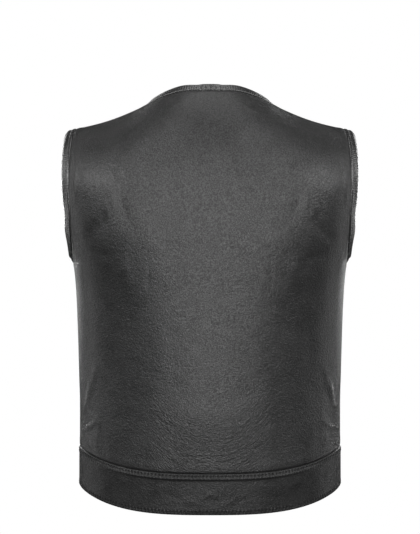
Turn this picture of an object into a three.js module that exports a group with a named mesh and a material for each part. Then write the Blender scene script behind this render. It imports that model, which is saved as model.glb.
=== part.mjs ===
// A collarless leather vest in the rounded shape it has when worn, hollow, with its front fastened.
// Millimetres. X runs across with the wearer's left at +X, -Y is the front, +Y the back, Z is up.
// The origin is midway between the shoulders, at the height where a wearer's shoulders carry it.
import * as THREE from "three";

// Driving sizes
const LEATHER = 2; // wall of a panel
const SEAM_GAP = 0.3; // left between two pieces that are sewn together
const ARMPIT_Z = -222; // lowest point of the armhole seam
const NECK_HALF = 97; // middle to the neck seam, on top of the shoulder
const NECK_SIDE_Z = 19; // height of the neck seam there
const SHOULDER_HALF = 205; // middle to the armhole seam, on top of the shoulder
const SHOULDER_TIP_Z = -16.5; // height of the armhole seam there
const SHOULDER_SAG = 4.4; // how far the shoulder line hangs below a straight one
const HEM_SEAM_Z = -500; // height of the seam above the hem band, at the side seams
const HEM_Z = -559; // height of the lower edge, at the side seams
const HEM_BAND_WALL = 3; // the hem band is folded double
const HEM_BAND_PROUD = 0.6; // how far it stands out from the panel above it
const OVERLAP = 14; // how far each front reaches past the middle
const UNDERLAP_DEPTH = 4.6; // how far the right front lies inside the left one
const UNDERLAP_FULL = 18; // from the middle to where the right front is that deep
const UNDERLAP_START = 46; // from the middle to where it starts to step in
const NECK_BINDING = { width: 11, thick: 4, droop: 0 };
const ARMHOLE_BINDING = { width: 14, thick: 4.4, droop: 16 }; // droop in degrees, at the shoulder tip
const BINDING_GAP = 0.55; // from the cut edge to a binding, whose facets turn with it and come closer between
const DROOP_FADE = 90; // below the shoulder tip, over which the droop dies away
const BINDING_SQUARE = 2.8;
const BINDING_SIDES = 12;

// Level sections of the outer surface. z is the height at the side. half is from the middle to the side,
// and depth from the side to the middle of the back or front. square is how boxy the curve between them
// is (2 is an ellipse), and drop is how much lower the section lies in the middle than at the side.
// Above the armpit a section stops short of the side, at the armhole seam.
const BACK_SECTIONS = [
  { z: -559, half: 199, depth: 122, square: 2.2, drop: 33.5 },
  { z: -500, half: 199, depth: 126, square: 2.1, drop: 31.5 },
  { z: -430, half: 199, depth: 128, square: 2.05, drop: 19 },
  { z: -340, half: 201.5, depth: 130, square: 2.2, drop: 9 },
  { z: -270, half: 204, depth: 132, square: 2.55, drop: 2 },
  { z: -222, half: 208, depth: 133.5, square: 3.05, drop: 0 },
  { z: -165, half: 219, depth: 134.5, square: 3.55, drop: 0 },
  { z: -115, half: 225, depth: 134, square: 3.6, drop: 0 },
];
const FRONT_SECTIONS = [
  { z: -559, half: 199, depth: 131, square: 2.2, drop: 9 },
  { z: -500, half: 199, depth: 136, square: 2.2, drop: 9 },
  { z: -430, half: 199, depth: 142, square: 2.2, drop: 6 },
  { z: -340, half: 201.5, depth: 149, square: 2.25, drop: 3 },
  { z: -270, half: 204, depth: 153, square: 2.35, drop: 1 },
  { z: -222, half: 208, depth: 154, square: 2.7, drop: 0 },
  { z: -165, half: 213, depth: 151, square: 2.8, drop: 0 },
];
const DROP_CURVE = 1.5; // how level the section lies in the middle

// What differs between the back and the fronts. sign is the side of the side seams that it lies on.
// armholeZ and armholeY are the height and depth of the armhole's widest point. neckZ and neckY are the
// height and depth of the neck seam in the middle, and neckSquare how boxy it is from above. neckShare is
// the share of a whole section that lies under the neck. tilt is how far the cloth there has turned from
// upright, in degrees, and cornerTilt the same on top of the shoulder. rise and lean set how long it keeps
// upright below and turned over above.
const BACK = {
  sign: 1, sections: BACK_SECTIONS, armholeZ: -115, armholeY: 86, neckZ: 36.8, neckY: 73, neckSquare: 2.15,
  neckShare: 0.39, tilt: 50, cornerTilt: 82, rise: 0.46, lean: 0.5,
};
const FRONT = {
  sign: -1, sections: FRONT_SECTIONS, armholeZ: -165, armholeY: 84, neckZ: -100, neckY: 132, neckSquare: 1.95,
  neckShare: 0.37, tilt: 26, cornerTilt: 72, rise: 0.42, lean: 0.42,
};
const ARMHOLE_SQUARE = 2.2;
const BACK_NECK_LEVEL = 38; // middle to where the back neck seam starts to fall
const BACK_NECK_FALL = 1.4; // how late it falls
const FRONT_NECK_FALL = 1.25; // how late the front neck seam falls, from the shoulder
const CORNER_YAW = 30; // how far the cloth there is turned outwards, in degrees
const SHOULDER_TILT = 84; // how far it has turned from upright at the outer end of the shoulder, in degrees
const SHOULDER_YAW = 7; // how far it is turned outwards there, in degrees
const HANDLE_RISE = 0.45; // share of a column's rise above the armhole that lengthens its upper curve's handle
const HANDLE_INWARD = 0.25; // how far a column under the neck has moved over towards its top by its lower handle
const EASING_PASSES = 5; // how often the rows above the armhole are eased, to spread the corner's ridge

// Columns and rows of each panel's mesh
const NECK_COLUMNS = 7;
const SHOULDER_COLUMNS = 8;
const BODY_ROWS = 13;
const ARMHOLE_ROWS = 6;
const SHOULDER_ROWS = 8;
const HEM_BAND_ROWS = 3;

// The largest folds and hollows, as long soft swells of the surface: where each is, how far it reaches
// along and across its length, how far it leans from upright (degrees) and how far it stands out.
const BACK_SWELLS = [
  { x: 96, z: -175, along: 60, across: 44, lean: -14, out: 2 }, // over the shoulder blade
  { x: 0, z: -230, along: 120, across: 24, lean: 0, out: -1.2 }, // down the spine
  { x: 148, z: -330, along: 110, across: 26, lean: -7, out: -2 }, // slack in front of the side
  { x: 180, z: -432, along: 46, across: 10, lean: 16, out: 2.4 }, // drag folds at the waist
  { x: 160, z: -470, along: 30, across: 10, lean: 24, out: 1.8 },
];
const FRONT_SWELLS = [
  { x: 98, z: -205, along: 60, across: 46, lean: 10, out: 3 }, // over the chest
  { x: 176, z: -430, along: 54, across: 11, lean: 14, out: 2.2 }, // drag folds at the waist
  { x: 146, z: -462, along: 32, across: 12, lean: 20, out: 1.8 },
  { x: 162, z: -262, along: 40, across: 10, lean: -38, out: -1.6 }, // under the armhole
];
const SWELL_FADE = 45; // over which a swell dies away near the hem seam and below the shoulder
const SWELL_END = 20; // below the hem seam's ends, where it has died away

// Snap fasteners down the middle of the front
const SNAP_ROWS = [{ z: -126 }, { z: -230 }, { z: -334 }, { z: -438 }, { z: -539 }];
const SNAP_RADIUS = 7.5;
const SNAP_HEIGHT = 2.6;
const SNAP_RIM = 1.1; // height of its rounded rim
const SNAP_RIM_INSET = 0.6; // how far the rim's edges lie inside its widest point
const SNAP_CROWN = { radius: 0.6, height: 0.86 }; // where the dome flattens, as shares of its radius and height
const SNAP_SIDES = 20;

const radians = (degrees) => (degrees * Math.PI) / 180;
const mix = (a, b, t) => a + (b - a) * t;
const smooth = (t) => {
  const inside = Math.min(1, Math.max(0, t));
  return inside * inside * (3 - 2 * inside);
};
const spread = (count, from, to) => Array.from({ length: count }, (_, i) => mix(from, to, (i + 1) / count));

// One named column of a table of sections at height z, on a smooth curve that doesn't overshoot.
function atHeight(sections, name, z) {
  const last = sections.length - 1;
  if (z <= sections[0].z) return sections[0][name];
  if (z >= sections[last].z) return sections[last][name];
  const slope = (i) => (sections[i + 1][name] - sections[i][name]) / (sections[i + 1].z - sections[i].z);
  const tangent = (i) => {
    if (i === 0) return slope(0);
    if (i === last) return slope(last - 1);
    const product = slope(i - 1) * slope(i);
    return product <= 0 ? 0 : (2 * product) / (slope(i - 1) + slope(i));
  };
  const i = sections.findIndex((_, k) => z < sections[k + 1].z);
  const span = sections[i + 1].z - sections[i].z;
  const t = (z - sections[i].z) / span;
  const bend = span * t * (1 - t) * (tangent(i) * (1 - t) - tangent(i + 1) * t);
  return mix(sections[i][name], sections[i + 1][name], t * t * (3 - 2 * t)) + bend;
}

// A boxy quarter ellipse from (0, 1) to (1, 0), by its angle.
const across = (angle, square) => Math.pow(Math.max(0, Math.sin(angle)), 2 / square);
const deep = (angle, square) => Math.pow(Math.max(0, Math.cos(angle)), 2 / square);

// A curve that starts in the middle plane, given for t from 0 to 1, read by the distance along it.
// Behind its start it goes on as its own mirror image.
function measured(curve) {
  const steps = 96;
  const points = Array.from({ length: steps + 1 }, (_, i) => curve(i / steps));
  const lengths = [0];
  for (let i = 1; i <= steps; i++) lengths.push(lengths[i - 1] + points[i].distanceTo(points[i - 1]));
  const length = lengths[steps];
  const at = (distance) => {
    if (distance < 0) return at(-distance).multiply(new THREE.Vector3(-1, 1, 1));
    const wanted = Math.min(length, distance);
    const i = Math.max(1, lengths.findIndex((l) => l >= wanted - 1e-9));
    const t = (wanted - lengths[i - 1]) / (lengths[i] - lengths[i - 1]);
    return points[i - 1].clone().lerp(points[i], t);
  };
  return { length, at };
}

// A level section of a panel's outer surface, from the middle to its edge. edgeY is how far from the
// side seams' plane that edge lies.
function sectionCurve(side, z, edgeY) {
  const half = atHeight(side.sections, "half", z);
  const depth = atHeight(side.sections, "depth", z);
  const square = atHeight(side.sections, "square", z);
  const drop = atHeight(side.sections, "drop", z);
  const end = Math.acos(Math.pow(edgeY / depth, square / 2));
  return measured((t) => {
    const inward = deep(t * end, square);
    const lower = drop * (1 - Math.pow(Math.max(0, 1 - inward * inward), DROP_CURVE));
    return new THREE.Vector3(half * across(t * end, square), side.sign * depth * inward, z - lower);
  });
}

// The two seams along the top of a panel: the neck seam from the middle, and the shoulder seam.
function neckCurve(side) {
  return measured((t) => {
    const angle = (t * Math.PI) / 2;
    const x = NECK_HALF * across(angle, side.neckSquare);
    const y = Math.max(SEAM_GAP / 2, side.neckY * deep(angle, side.neckSquare));
    const past = Math.max(0, x - BACK_NECK_LEVEL) / (NECK_HALF - BACK_NECK_LEVEL);
    const back = mix(BACK.neckZ, NECK_SIDE_Z, Math.pow(past, BACK_NECK_FALL));
    const front = mix(NECK_SIDE_Z, FRONT.neckZ, Math.pow(deep(angle, side.neckSquare), FRONT_NECK_FALL));
    return new THREE.Vector3(x, side.sign * y, side === BACK ? back : front);
  });
}
function shoulderCurve(side) {
  return measured((t) => {
    const sag = SHOULDER_SAG * Math.sin(Math.PI * t);
    const z = mix(NECK_SIDE_Z, SHOULDER_TIP_Z, t) - sag;
    return new THREE.Vector3(mix(NECK_HALF, SHOULDER_HALF, t), (side.sign * SEAM_GAP) / 2, z);
  });
}

// Distances from the middle at which the columns stand, on a curve that is the given length as far as
// the neck and the given length beyond it. A front has a column on each edge of the overlap.
function columnPlaces(side, toNeck, beyond) {
  const inner = side === BACK ? [0] : [-OVERLAP, 0, UNDERLAP_FULL];
  const neck = spread(NECK_COLUMNS, inner[inner.length - 1], toNeck);
  return [...inner, ...neck, ...spread(SHOULDER_COLUMNS, toNeck, toNeck + beyond)];
}

// A row of the outer surface at one height of the side or armhole seam. The armhole shortens only the
// stretch beyond the neck.
function levelRow(side, z, edgeY) {
  const curve = sectionCurve(side, z, edgeY);
  const toNeck = side.neckShare * sectionCurve(side, z, SEAM_GAP / 2).length;
  return columnPlaces(side, toNeck, curve.length - toNeck).map((place) => curve.at(place));
}
function topRow(side) {
  const neck = neckCurve(side);
  const shoulder = shoulderCurve(side);
  return columnPlaces(side, neck.length, shoulder.length).map((place) =>
    place <= neck.length ? neck.at(place) : shoulder.at(place - neck.length));
}

// The rows between the armhole's widest point and the top edge: each column runs up and turns over
// towards the shoulder.
function shoulderRows(side, lower, upper) {
  const neckColumn = lower.length - 1 - SHOULDER_COLUMNS;
  const columns = lower.map((from, i) => {
    const to = upper[i];
    const underNeck = smooth(i / neckColumn);
    const outside = smooth((i - neckColumn) / SHOULDER_COLUMNS);
    const tilt = radians(mix(mix(side.tilt, side.cornerTilt, underNeck), SHOULDER_TILT, outside));
    const yaw = radians(mix(CORNER_YAW * underNeck, SHOULDER_YAW, outside));
    const reach = Math.abs(from.y - to.y) * Math.sin(tilt) + HANDLE_RISE * (to.z - from.z) * Math.cos(tilt);
    const keep = new THREE.Vector3(from.x, from.y, mix(from.z, to.z, side.rise));
    keep.x = mix(from.x, to.x, HANDLE_INWARD * (1 - outside));
    const turn = new THREE.Vector3(Math.sin(yaw), side.sign * Math.cos(yaw), -1 / Math.tan(tilt));
    turn.multiplyScalar(side.lean * reach * Math.sin(tilt)).add(to);
    return new THREE.CubicBezierCurve3(from, keep, turn, to);
  });
  const rows = spread(SHOULDER_ROWS, 0, 1).map((t) => columns.map((column) => column.getPoint(t)));
  for (let pass = 0; pass < EASING_PASSES; pass++) {
    rows.forEach((row, r) => easeRow(row, (r + 1) / SHOULDER_ROWS));
  }
  return rows;
}

// Draws each point of a row towards the middle of its neighbours, but for the ends and the stretch of the
// overlap. risen is where the row lies, from the armhole's widest point (0) to the top edge (1).
function easeRow(row, risen) {
  const pull = Math.min(0.5, 1 - risen, risen);
  const before = row.map((point) => point.clone());
  for (let c = 3; c < row.length - 1; c++) {
    const middle = before[c - 1].clone().lerp(before[c + 1], 0.5);
    row[c].lerp(middle, pull);
  }
}

// How far the surface stands out at a point, from its swells.
function swellAt(side, point) {
  const fade = smooth((point.z - HEM_SEAM_Z + SWELL_END) / SWELL_FADE) * smooth(-point.z / SWELL_FADE);
  const swells = side === BACK ? BACK_SWELLS : FRONT_SWELLS;
  return swells.reduce((sum, s) => {
    const lean = radians(s.lean);
    const dx = Math.abs(point.x) - s.x;
    const dz = point.z - s.z;
    const off = (dx * Math.cos(lean) - dz * Math.sin(lean)) / s.across;
    const up = (dx * Math.sin(lean) + dz * Math.cos(lean)) / s.along;
    return sum + s.out * fade * Math.exp(-(off * off + up * up));
  }, 0);
}

// Half of a panel's outer surface, from the middle to the wearer's left: rows of points, hem seam first.
function panelRows(side) {
  const body = [HEM_SEAM_Z, ...spread(BODY_ROWS, HEM_SEAM_Z, ARMPIT_Z)];
  const rows = body.map((z) => levelRow(side, z, SEAM_GAP / 2));
  for (const angle of spread(ARMHOLE_ROWS, 0, Math.PI / 2)) {
    const z = mix(side.armholeZ, ARMPIT_Z, deep(angle, ARMHOLE_SQUARE));
    rows.push(levelRow(side, z, side.armholeY * across(angle, ARMHOLE_SQUARE)));
  }
  rows.push(...shoulderRows(side, rows[rows.length - 1], topRow(side)));
  return rows;
}
function hemBandRows(side) {
  return [HEM_Z, ...spread(HEM_BAND_ROWS, HEM_Z, HEM_SEAM_Z - SEAM_GAP)].map((z) =>
    levelRow(side, z, SEAM_GAP / 2));
}

// The outward direction at each point of a grid. Along the side and shoulder seams it stays in their
// plane, so that two walls end face to face there.
function gridNormals(rows, side, isPanel) {
  const topIndex = rows.length - 1;
  const edgeIndex = rows[0].length - 1;
  return rows.map((row, r) =>
    row.map((_, c) => {
      const right = rows[r][Math.min(c + 1, edgeIndex)].clone().sub(rows[r][Math.max(c - 1, 0)]);
      const up = rows[Math.min(r + 1, topIndex)][c].clone().sub(rows[Math.max(r - 1, 0)][c]);
      const normal = right.cross(up).multiplyScalar(-side.sign);
      const onSideSeam = c === edgeIndex && (!isPanel || r <= BODY_ROWS);
      const onShoulderSeam = isPanel && r === topIndex && c >= edgeIndex - SHOULDER_COLUMNS;
      if (onSideSeam || onShoulderSeam) normal.y = 0;
      return normal.normalize();
    }));
}

// The wall of a piece: its outer and inner points and outward directions, as rows from the wearer's right
// edge to the left one. which is "back", "left" or "right".
function wallOf(side, rows, which, isPanel, wall, proud) {
  const normals = gridNormals(rows, side, isPanel);
  const grid = rows.map((row, r) =>
    row.map((point, c) => {
      const normal = normals[r][c];
      const under = (UNDERLAP_START - point.x) / (UNDERLAP_START - UNDERLAP_FULL);
      const stepIn = which === "right" ? UNDERLAP_DEPTH * smooth(under) : 0;
      const swell = isPanel ? swellAt(side, point) : 0;
      const outer = point.clone().addScaledVector(normal, swell + proud - stepIn);
      return { outer, inner: outer.clone().addScaledVector(normal, -wall), normal };
    }));
  const flip = (v) => new THREE.Vector3(-v.x, v.y, v.z);
  const mirrored = grid.map((row) =>
    row.map((p) => ({ outer: flip(p.outer), inner: flip(p.inner), normal: flip(p.normal) })).reverse());
  if (which === "left") return grid;
  if (which === "right") return mirrored;
  return grid.map((row, r) => [...mirrored[r].slice(0, -1), ...row]);
}

// A closed mesh from rings of points, each ring joined to the next by quads cut along their shorter
// diagonal. Open ends are capped, and a loop joins its last ring to its first.
function ringMesh(rings, isLoop, name, material) {
  const size = rings[0].length;
  const points = rings.flat();
  const index = [];
  const joined = isLoop ? rings.length : rings.length - 1;
  for (let r = 0; r < joined; r++) {
    const a = r * size;
    const b = ((r + 1) % rings.length) * size;
    for (let i = 0; i < size; i++) {
      const j = (i + 1) % size;
      const isFalling = points[a + i].distanceTo(points[b + j]) < points[b + i].distanceTo(points[a + j]);
      if (isFalling) index.push(a + i, b + i, b + j, a + i, b + j, a + j);
      else index.push(a + i, b + i, a + j, b + i, b + j, a + j);
    }
  }
  if (!isLoop) {
    const end = (rings.length - 1) * size;
    for (let i = 0; i < size / 2 - 1; i++) {
      const [j, k, l] = [i + 1, size - 2 - i, size - 1 - i];
      index.push(l, i, j, l, j, k, end + i, end + l, end + j, end + l, end + k, end + j);
    }
  }
  return meshOf(points, index, name, material);
}

// A mesh of the given triangles, turned round together where they face inwards.
function meshOf(points, index, name, material) {
  let volume = 0;
  for (let i = 0; i < index.length; i += 3) {
    const [a, b, c] = [points[index[i]], points[index[i + 1]], points[index[i + 2]]];
    volume += a.dot(b.clone().cross(c));
  }
  const geometry = new THREE.BufferGeometry().setFromPoints(points);
  geometry.setIndex(volume < 0 ? [...index].reverse() : index);
  geometry.computeVertexNormals();
  const mesh = new THREE.Mesh(geometry, material);
  mesh.name = name;
  return mesh;
}

// A wall's points as rings, one for each row: along the outer surface and back along the inner one.
function wallMesh(grid, name, material) {
  const rings = grid.map((row) => [...row.map((p) => p.outer), ...row.map((p) => p.inner).reverse()]);
  return ringMesh(rings, false, name, material);
}

// A rounded strip sewn along an edge. Each stop has the wall's middle at the edge, the outward direction
// and a point further into the panel.
function bindingMesh(stops, isLoop, shape, name, material) {
  const count = stops.length;
  const centres = stops.map((s) => s.edge);
  const rings = stops.map((stop, i) => {
    const before = centres[isLoop ? (i + count - 1) % count : Math.max(0, i - 1)];
    const after = centres[isLoop ? (i + 1) % count : Math.min(count - 1, i + 1)];
    const along = after.clone().sub(before).normalize();
    const normal = stop.normal.clone().addScaledVector(along, -stop.normal.dot(along)).normalize();
    const away = along.clone().cross(normal);
    if (away.dot(stop.edge.clone().sub(stop.further)) < 0) away.negate();
    const droop = radians(shape.droop) * smooth(1 - (SHOULDER_TIP_Z - stop.edge.z) / DROOP_FADE);
    const out = away.clone().multiplyScalar(Math.cos(droop)).addScaledVector(normal, -Math.sin(droop));
    const up = normal.clone().multiplyScalar(Math.cos(droop)).addScaledVector(away, Math.sin(droop));
    const middle = stop.edge.clone().addScaledVector(out, BINDING_GAP + shape.width / 2);
    return Array.from({ length: BINDING_SIDES }, (_, k) => {
      const angle = ((k + 0.5) / BINDING_SIDES) * 2 * Math.PI;
      const [c, s] = [Math.cos(angle), Math.sin(angle)];
      const wide = (Math.sign(c) * Math.pow(Math.abs(c), 2 / BINDING_SQUARE) * shape.width) / 2;
      const high = (Math.sign(s) * Math.pow(Math.abs(s), 2 / BINDING_SQUARE) * shape.thick) / 2;
      return middle.clone().addScaledVector(out, wide).addScaledVector(up, high);
    });
  });
  return ringMesh(rings, isLoop, name, material);
}

const stopAt = (point, further) => ({
  edge: point.outer.clone().lerp(point.inner, 0.5),
  normal: point.normal,
  further: further.outer,
});
const between = (a, b) => ({
  edge: a.edge.clone().lerp(b.edge, 0.5),
  normal: a.normal.clone().add(b.normal).normalize(),
  further: a.further.clone().lerp(b.further, 0.5),
});

// The stops along one armhole, up the back from the armpit, over the shoulder and down the front.
function armholeStops(backGrid, frontGrid, isLeft) {
  const edgeOf = (grid, isAtEnd) => grid.slice(BODY_ROWS).map((row) => {
    const edge = isAtEnd ? row[row.length - 1] : row[0];
    return stopAt(edge, isAtEnd ? row[row.length - 2] : row[1]);
  });
  const up = edgeOf(backGrid, isLeft);
  const down = edgeOf(frontGrid, isLeft).reverse();
  const armpit = between(up[0], down[down.length - 1]);
  armpit.further = armpit.edge.clone().add(new THREE.Vector3(0, 0, -1));
  return [armpit, ...up.slice(1, -1), between(up[up.length - 1], down[0]), ...down.slice(1, -1)];
}

// The stops along the neck, from the left front's edge round the back to the right front's.
function neckStops(backGrid, leftGrid, rightGrid) {
  const top = backGrid.length - 1;
  const neckEdge = (grid) => grid[top].map((point, c) => stopAt(point, grid[top - 1][c]));
  const left = neckEdge(leftGrid).slice(0, -SHOULDER_COLUMNS);
  const back = neckEdge(backGrid).slice(SHOULDER_COLUMNS, -SHOULDER_COLUMNS).reverse();
  const right = neckEdge(rightGrid).slice(SHOULDER_COLUMNS);
  return [
    ...left.slice(0, -1), between(left[left.length - 1], back[0]), ...back.slice(1, -1),
    between(back[back.length - 1], right[0]), ...right.slice(1),
  ];
}

// A domed cap that stands on a front at height z, on the grid's column in the middle of the vest.
function snapMesh(grid, z, name, material) {
  const column = grid.map((row) => row[1]);
  const r = column.findIndex((_, i) => column[i + 1].outer.z > z);
  const risen = (z - column[r].outer.z) / (column[r + 1].outer.z - column[r].outer.z);
  const out = column[r].normal.clone().lerp(column[r + 1].normal, risen).setX(0).normalize();
  const base = column[r].outer.clone().lerp(column[r + 1].outer, risen).addScaledVector(out, SEAM_GAP);
  const profile = [
    new THREE.Vector2(0, 0),
    new THREE.Vector2(SNAP_RADIUS - SNAP_RIM_INSET, 0),
    new THREE.Vector2(SNAP_RADIUS, SNAP_RIM / 2),
    new THREE.Vector2(SNAP_RADIUS - SNAP_RIM_INSET, SNAP_RIM),
    new THREE.Vector2(SNAP_RADIUS * SNAP_CROWN.radius, SNAP_HEIGHT * SNAP_CROWN.height),
    new THREE.Vector2(0, SNAP_HEIGHT),
  ];
  const mesh = new THREE.Mesh(new THREE.LatheGeometry(profile, SNAP_SIDES), material);
  mesh.quaternion.setFromUnitVectors(new THREE.Vector3(0, 1, 0), out);
  mesh.position.copy(base);
  mesh.name = name;
  return mesh;
}

const leather = new THREE.MeshStandardMaterial({ color: 0x2b2b2c, roughness: 0.55 });
const bindingLeather = new THREE.MeshStandardMaterial({ color: 0x1d1d1e, roughness: 0.5 });
const snapMetal = new THREE.MeshStandardMaterial({ color: 0x3a3a3c, roughness: 0.35, metalness: 1 });

const backGrid = wallOf(BACK, panelRows(BACK), "back", true, LEATHER, 0);
const leftGrid = wallOf(FRONT, panelRows(FRONT), "left", true, LEATHER, 0);
const rightGrid = wallOf(FRONT, panelRows(FRONT), "right", true, LEATHER, 0);
const bandOf = (side, which) => wallOf(side, hemBandRows(side), which, false, HEM_BAND_WALL, HEM_BAND_PROUD);
const leftBandGrid = bandOf(FRONT, "left");

const group = new THREE.Group();
group.add(
  wallMesh(backGrid, "back_panel", leather),
  wallMesh(leftGrid, "front_left", leather),
  wallMesh(rightGrid, "front_right", leather),
  bindingMesh(neckStops(backGrid, leftGrid, rightGrid), false, NECK_BINDING, "neck_binding", bindingLeather),
);
for (const isLeft of [true, false]) {
  const stops = armholeStops(backGrid, isLeft ? leftGrid : rightGrid, isLeft);
  const name = isLeft ? "armhole_binding_left" : "armhole_binding_right";
  group.add(bindingMesh(stops, true, ARMHOLE_BINDING, name, bindingLeather));
}
group.add(
  wallMesh(bandOf(BACK, "back"), "hem_band_back", leather),
  wallMesh(leftBandGrid, "hem_band_front_left", leather),
  wallMesh(bandOf(FRONT, "right"), "hem_band_front_right", leather),
);
SNAP_ROWS.forEach(({ z }, i) => {
  const grid = z < leftGrid[0][1].outer.z ? leftBandGrid : leftGrid;
  group.add(snapMesh(grid, z, `snap_${i + 1}`, snapMetal));
});

export default group;
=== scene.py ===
"""A collarless black leather vest, filled out into the shape it has when worn, with nobody in it.

The vest's own sizes are in millimetres, as a cutter writes them, and every mesh is made in metres.
X runs across with the wearer's left at +X, -Y is the front, +Y the back, and Z is up. The origin is
midway between the shoulders, where a wearer's shoulders carry the vest.
"""

import logging
import math
from collections.abc import Callable, Iterable, Iterator
from dataclasses import dataclass
from enum import Enum
from typing import ClassVar

import bpy
import numpy as np
from mathutils import Matrix, Vector
from mathutils.kdtree import KDTree


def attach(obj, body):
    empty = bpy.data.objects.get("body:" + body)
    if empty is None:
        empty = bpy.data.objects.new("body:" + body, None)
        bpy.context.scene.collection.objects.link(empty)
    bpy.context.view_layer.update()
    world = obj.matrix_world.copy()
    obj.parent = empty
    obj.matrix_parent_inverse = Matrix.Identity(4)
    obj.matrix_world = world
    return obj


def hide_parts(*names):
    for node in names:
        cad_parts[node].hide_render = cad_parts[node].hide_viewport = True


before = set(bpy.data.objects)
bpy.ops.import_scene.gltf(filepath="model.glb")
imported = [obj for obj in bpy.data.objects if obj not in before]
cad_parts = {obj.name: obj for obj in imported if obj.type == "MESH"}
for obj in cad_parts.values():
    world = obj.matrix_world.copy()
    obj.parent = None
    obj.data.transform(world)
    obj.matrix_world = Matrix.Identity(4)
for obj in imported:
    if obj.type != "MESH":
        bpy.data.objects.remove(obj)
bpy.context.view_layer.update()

log = logging.getLogger("vest")

MM = 0.001
SEAM_GAP = 0.3
LEAST_WALL = 0.6
NORMALS_REACH = 5

Socket = bpy.types.NodeSocket


def smooth(t: np.ndarray | float) -> np.ndarray:
    """Rise gently from 0 to 1 while t goes from 0 to 1."""
    inside = np.clip(t, 0.0, 1.0)
    return inside * inside * (3 - 2 * inside)


def mix(a: float, b: float, t: np.ndarray | float) -> np.ndarray | float:
    """Go from a to b while t goes from 0 to 1."""
    return a + (b - a) * t


def spread(count: int, start: float, end: float) -> list[float]:
    """List count even steps after start, as far as end."""
    return [mix(start, end, (i + 1) / count) for i in range(count)]


def across(angle: np.ndarray | float, square: float) -> np.ndarray:
    """Give the width of a boxy quarter ellipse at an angle from its middle."""
    return np.maximum(0.0, np.sin(angle)) ** (2 / square)


def deep(angle: np.ndarray | float, square: float) -> np.ndarray:
    """Give the depth of a boxy quarter ellipse at an angle from its middle."""
    return np.maximum(0.0, np.cos(angle)) ** (2 / square)


def unit(vectors: np.ndarray) -> np.ndarray:
    """Scale each vector to length one."""
    return vectors / np.maximum(np.linalg.norm(vectors, axis=-1, keepdims=True), 1e-12)


def along(points: np.ndarray) -> np.ndarray:
    """Give the distance of each point of a line from its first, along the line."""
    steps = np.linalg.norm(np.diff(points, axis=0), axis=1)
    return np.concatenate([[0.0], np.cumsum(steps)])


def read(values: np.ndarray, lengths: np.ndarray, places: np.ndarray | float) -> np.ndarray:
    """Read the points or directions of a line at some distances along it."""
    return np.stack([np.interp(places, lengths, values[:, k]) for k in range(3)], axis=-1)


def bell(reach: int) -> np.ndarray:
    """Give the weights of a moving mean that reaches so many values to either side."""
    return np.hanning(2 * reach + 3)[1:-1]


class Cut(Enum):
    """The vest's three cut panels."""

    BACK = "back"
    LEFT = "left"
    RIGHT = "right"


@dataclass(frozen=True)
class Section:
    """A level section of the vest's outer surface, in millimetres.

    z is its height at the side, half its half width and depth how far it reaches behind or in front of the
    side seams. square is how boxy it is, and drop how much lower it lies in the middle.
    """

    z: float
    half: float
    depth: float
    square: float
    drop: float


@dataclass(frozen=True)
class Swell:
    """A long soft fold or hollow: its place, reach along and across, lean in degrees and height."""

    x: float
    z: float
    along: float
    across: float
    lean: float
    out: float


@dataclass(frozen=True)
class Side:
    """What differs between the back and the fronts, in millimetres and degrees.

    sign is 1 behind and -1 in front. sections are listed from the hem up. The armhole is widest at
    armhole_z and armhole_y, and the neck seam lies at neck_z and neck_y in the middle, as boxy as
    neck_square. neck_share is how much of a section lies under the neck. tilt, corner_tilt, rise and lean
    steer how the surface runs over the shoulder.
    """

    sign: int
    sections: tuple[Section, ...]
    swells: tuple[Swell, ...]
    armhole_z: float
    armhole_y: float
    neck_z: float
    neck_y: float
    neck_square: float
    neck_share: float
    tilt: float
    corner_tilt: float
    rise: float
    lean: float

    def at(self, name: str, z: float) -> float:
        """Read one measure of the sections at a height, on a smooth curve that doesn't overshoot.

        Args:
            name: which field of the sections.
            z: the height at the side.

        Returns:
            The measure there.
        """
        zs = [s.z for s in self.sections]
        values = [getattr(s, name) for s in self.sections]
        if z <= zs[0] or z >= zs[-1]:
            return values[0] if z <= zs[0] else values[-1]
        slopes = np.diff(values) / np.diff(zs)
        tangents = [slopes[0]]
        for a, b in zip(slopes[:-1], slopes[1:]):
            tangents.append(0.0 if a * b <= 0 else 2 * a * b / (a + b))
        tangents.append(slopes[-1])
        i = next(k for k in range(len(zs) - 1) if z < zs[k + 1])
        span = zs[i + 1] - zs[i]
        t = (z - zs[i]) / span
        bend = span * t * (1 - t) * (tangents[i] * (1 - t) - tangents[i + 1] * t)
        return mix(values[i], values[i + 1], t * t * (3 - 2 * t)) + bend


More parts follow.
